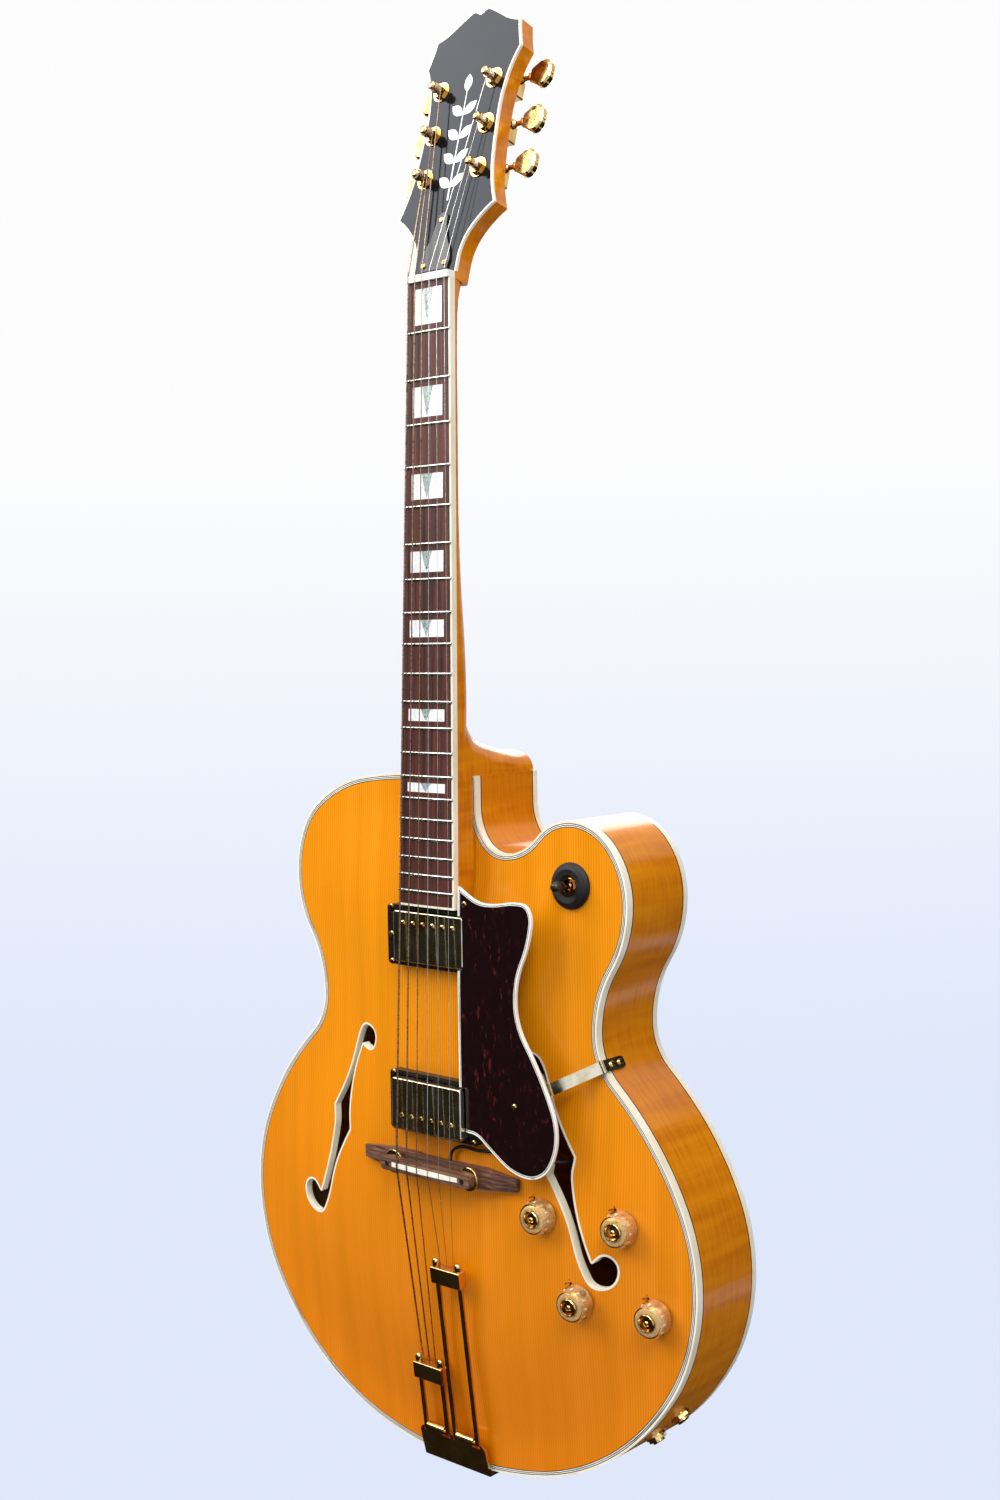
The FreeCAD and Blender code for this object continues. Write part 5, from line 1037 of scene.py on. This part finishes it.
class ARCHTOP_OT_stage(bpy.types.Operator):
    """Sets the floor, backdrop, lamps and camera"""

    bl_idname = "archtop.stage"
    bl_label = "Stage"

    # Places, widths and powers of the lamps, in metres and watts, and the point that they face
    LAMPS = (
        ("key", (-1.4, -1.6, 1.9), 1.8, 60.0),
        ("fill", (1.4, -1.1, 2.2), 1.2, 39.0),
        ("top", (0.2, -0.6, 2.8), 1.2, 22.0),
        ("back", (-1.1, 1.9, 1.5), 1.4, 30.0),
    )
    LAMP_AIM = Vector((0.0, 0.0, 0.5))
    # How far the card under the guitar is below its tail
    CARD_DROP = 0.25
    # How far the floor reaches to the front and the sides, the height of the wall, and the steps of the cove
    FLOOR_REACH = 30.0
    WALL_TOP = 4.0
    COVE_STEPS = 32
    # The share of the backdrop that shows its own colour to the rays that see it
    SEEN_SHARE = 0.97
    # The room's brightness where it only gives light; where it is seen, it is one
    ROOM_LIGHT = 0.46

    def execute(self, context):
        heading = math.atan2(CAMERA_RIGHT[1], CAMERA_RIGHT[0])
        self.backdrop(context, heading)
        upright = math.radians(90)
        below = CAD_BOX[0][2] - self.CARD_DROP
        self.dark_card("front_card", (-0.80, -0.94, 0.36), (upright, 0, -heading), (2.4, 1.3))
        self.dark_card("side_card", (0.98, 0.86, 0.38), (upright, 0, math.pi - heading), (1.5, 1.3))
        self.dark_card("floor_card", (0.1, -0.3, below), (0, 0, -heading), (3.2, 2.4))
        self.world(context)
        for name, place, width, watts in self.LAMPS:
            self.lamp(name, place, width, watts)
        camera = bpy.data.cameras.new("photo_camera")
        camera.lens = CAMERA_LENS
        camera.sensor_width = CAMERA_SENSOR
        obj = bpy.data.objects.new("photo_camera", camera)
        axes = Matrix((CAMERA_RIGHT, CAMERA_UP, CAMERA_BACK)).transposed().to_4x4()
        obj.matrix_world = Matrix.Translation(CAMERA_PLACE) @ axes
        context.scene.collection.objects.link(obj)
        context.scene.camera = obj
        context.scene.view_settings.view_transform = "Standard"
        return {"FINISHED"}

    def lamp(self, name, place, width, watts):
        """A soft square lamp that faces the guitar."""
        light = bpy.data.lights.new(name, "AREA")
        light.shape = "SQUARE"
        light.size = width
        light.energy = watts
        obj = bpy.data.objects.new(name, light)
        aim = self.LAMP_AIM - Vector(place)
        obj.matrix_world = Matrix.Translation(place) @ aim.to_track_quat("-Z", "Y").to_matrix().to_4x4()
        bpy.context.scene.collection.objects.link(obj)

    def seen_ray(self, tree):
        """One for rays that come from the camera, a mirror or clear plastic, else zero."""
        path = add(tree, "LightPath")
        first = add(tree, "Math", {"operation": "MAXIMUM"},
                    links={0: path.outputs["Is Camera Ray"], 1: path.outputs["Is Glossy Ray"]})
        both = add(tree, "Math", {"operation": "MAXIMUM"},
                   links={0: first.outputs["Value"], 1: path.outputs["Is Transmission Ray"]})
        return both.outputs["Value"]

    def world(self, context):
        """A pale room: white where it is seen, softer where it lights."""
        world = bpy.data.worlds.new("pale_room")
        world.use_nodes = True
        tree = world.node_tree
        tree.nodes.clear()
        level = add(tree, "MapRange", values={"To Min": self.ROOM_LIGHT},
                    links={"Value": self.seen_ray(tree)})
        room = add(tree, "Background", values={"Color": linear("#F3F5FC")},
                   links={"Strength": level.outputs["Result"]})
        add(tree, "OutputWorld", links={"Surface": room.outputs["Background"]})
        context.scene.world = world

    def staged(self, name, bm, surface):
        """Makes a thing of the stage of a bmesh, and returns it with its material's tree."""
        mesh = bpy.data.meshes.new(name)
        bm.to_mesh(mesh)
        bm.free()
        mesh.shade_smooth()
        material = bpy.data.materials.new(surface)
        material.use_nodes = True
        material.node_tree.nodes.clear()
        mesh.materials.append(material)
        obj = bpy.data.objects.new(name, mesh)
        bpy.context.scene.collection.objects.link(obj)
        return obj, material.node_tree

    def backdrop(self, context, heading):
        """A floor that bends up into a wall behind the guitar, square to the camera's view."""
        c = context.scene.archtop_colours
        s = context.scene.archtop_sizes
        low = CAD_BOX[0][2] - s.floor_drop
        bm = bmesh.new()
        outline = ((-self.FLOOR_REACH, low), (s.backdrop_gap, low), (s.backdrop_gap, self.WALL_TOP))
        verts = [bm.verts.new((-self.FLOOR_REACH, y, z)) for y, z in outline]
        for ends in zip(verts, verts[1:]):
            bm.edges.new(ends)
        rounded(bm, [verts[1]], s.cove, "VERTICES", self.COVE_STEPS)
        swept = bmesh.ops.extrude_edge_only(bm, edges=bm.edges[:])
        bmesh.ops.translate(bm, vec=(2 * self.FLOOR_REACH, 0, 0), verts=verts_of(swept["geom"]))
        bmesh.ops.recalc_face_normals(bm, faces=bm.faces)
        bm.transform(Matrix.Rotation(heading, 4, "Z"))
        _, tree = self.staged("backdrop", bm, "painted_backdrop")
        stops = ((0.04, c.backdrop_low), (0.22, c.backdrop_middle), (0.46, c.backdrop_high))
        tint = add(tree, "ValToRGB", {"stops": stops}, links={"Fac": climb(tree, low, low + s.cove)})
        paint = add(tree, "BsdfDiffuse", values={"Color": linear("#B2B4BA")})
        glow = add(tree, "Emission", links={"Color": tint.outputs["Color"]})
        share = add(tree, "Math", {"operation": "MULTIPLY"}, {1: self.SEEN_SHARE},
                    {0: self.seen_ray(tree)})
        mixed = add(tree, "MixShader",
                    links={0: share.outputs["Value"], 1: paint.outputs["BSDF"], 2: glow.outputs["Emission"]})
        add(tree, "OutputMaterial", links={"Surface": mixed.outputs["Shader"]})

    def dark_card(self, name, place, turn, size):
        """A dark card, seen only in reflections, that gives metal and lacquer their depth."""
        bm = bmesh.new()
        bmesh.ops.create_grid(bm, x_segments=1, y_segments=1, size=0.5)
        bm.transform(Matrix.LocRotScale(Vector(place), Euler(turn), Vector((*size, 1))))
        obj, tree = self.staged(name, bm, "dark_card")
        glow = add(tree, "Emission", values={"Color": linear("#2A2721")})
        add(tree, "OutputMaterial", links={"Surface": glow.outputs["Emission"]})
        obj.visible_camera = False
        obj.visible_diffuse = False
        obj.visible_shadow = False
        obj.visible_transmission = False


OPERATORS = (
    ARCHTOP_OT_lead, ARCHTOP_OT_body, ARCHTOP_OT_bindings, ARCHTOP_OT_fingerboard, ARCHTOP_OT_headstock,
    ARCHTOP_OT_tuners, ARCHTOP_OT_strings, ARCHTOP_OT_pickups, ARCHTOP_OT_knobs, ARCHTOP_OT_controls,
    ARCHTOP_OT_bridge, ARCHTOP_OT_tailpiece, ARCHTOP_OT_pickguard, ARCHTOP_OT_stage,
)


class ARCHTOP_PT_panel(bpy.types.Panel):
    """Lists the steps that finish the guitar"""

    bl_idname = "ARCHTOP_PT_panel"
    bl_label = "Archtop guitar"
    bl_space_type = "VIEW_3D"
    bl_region_type = "UI"
    bl_category = "Archtop"

    def draw(self, context):
        for operator in OPERATORS:
            self.layout.operator(operator.bl_idname)
        for group in (context.scene.archtop_colours, context.scene.archtop_sizes):
            for name in group.__annotations__:
                self.layout.prop(group, name)


CLASSES = (ArchtopColours, ArchtopSizes) + OPERATORS + (ARCHTOP_PT_panel,)


def register():
    for cls in CLASSES:
        bpy.utils.register_class(cls)
    bpy.types.Scene.archtop_colours = bpy.props.PointerProperty(type=ArchtopColours)
    bpy.types.Scene.archtop_sizes = bpy.props.PointerProperty(type=ArchtopSizes)


def unregister():
    del bpy.types.Scene.archtop_sizes
    del bpy.types.Scene.archtop_colours
    for cls in reversed(CLASSES):
        bpy.utils.unregister_class(cls)


def main():
    register()
    for operator in OPERATORS:
        getattr(bpy.ops.archtop, operator.bl_idname.split(".")[1])()


if __name__ == "__main__":
    main()
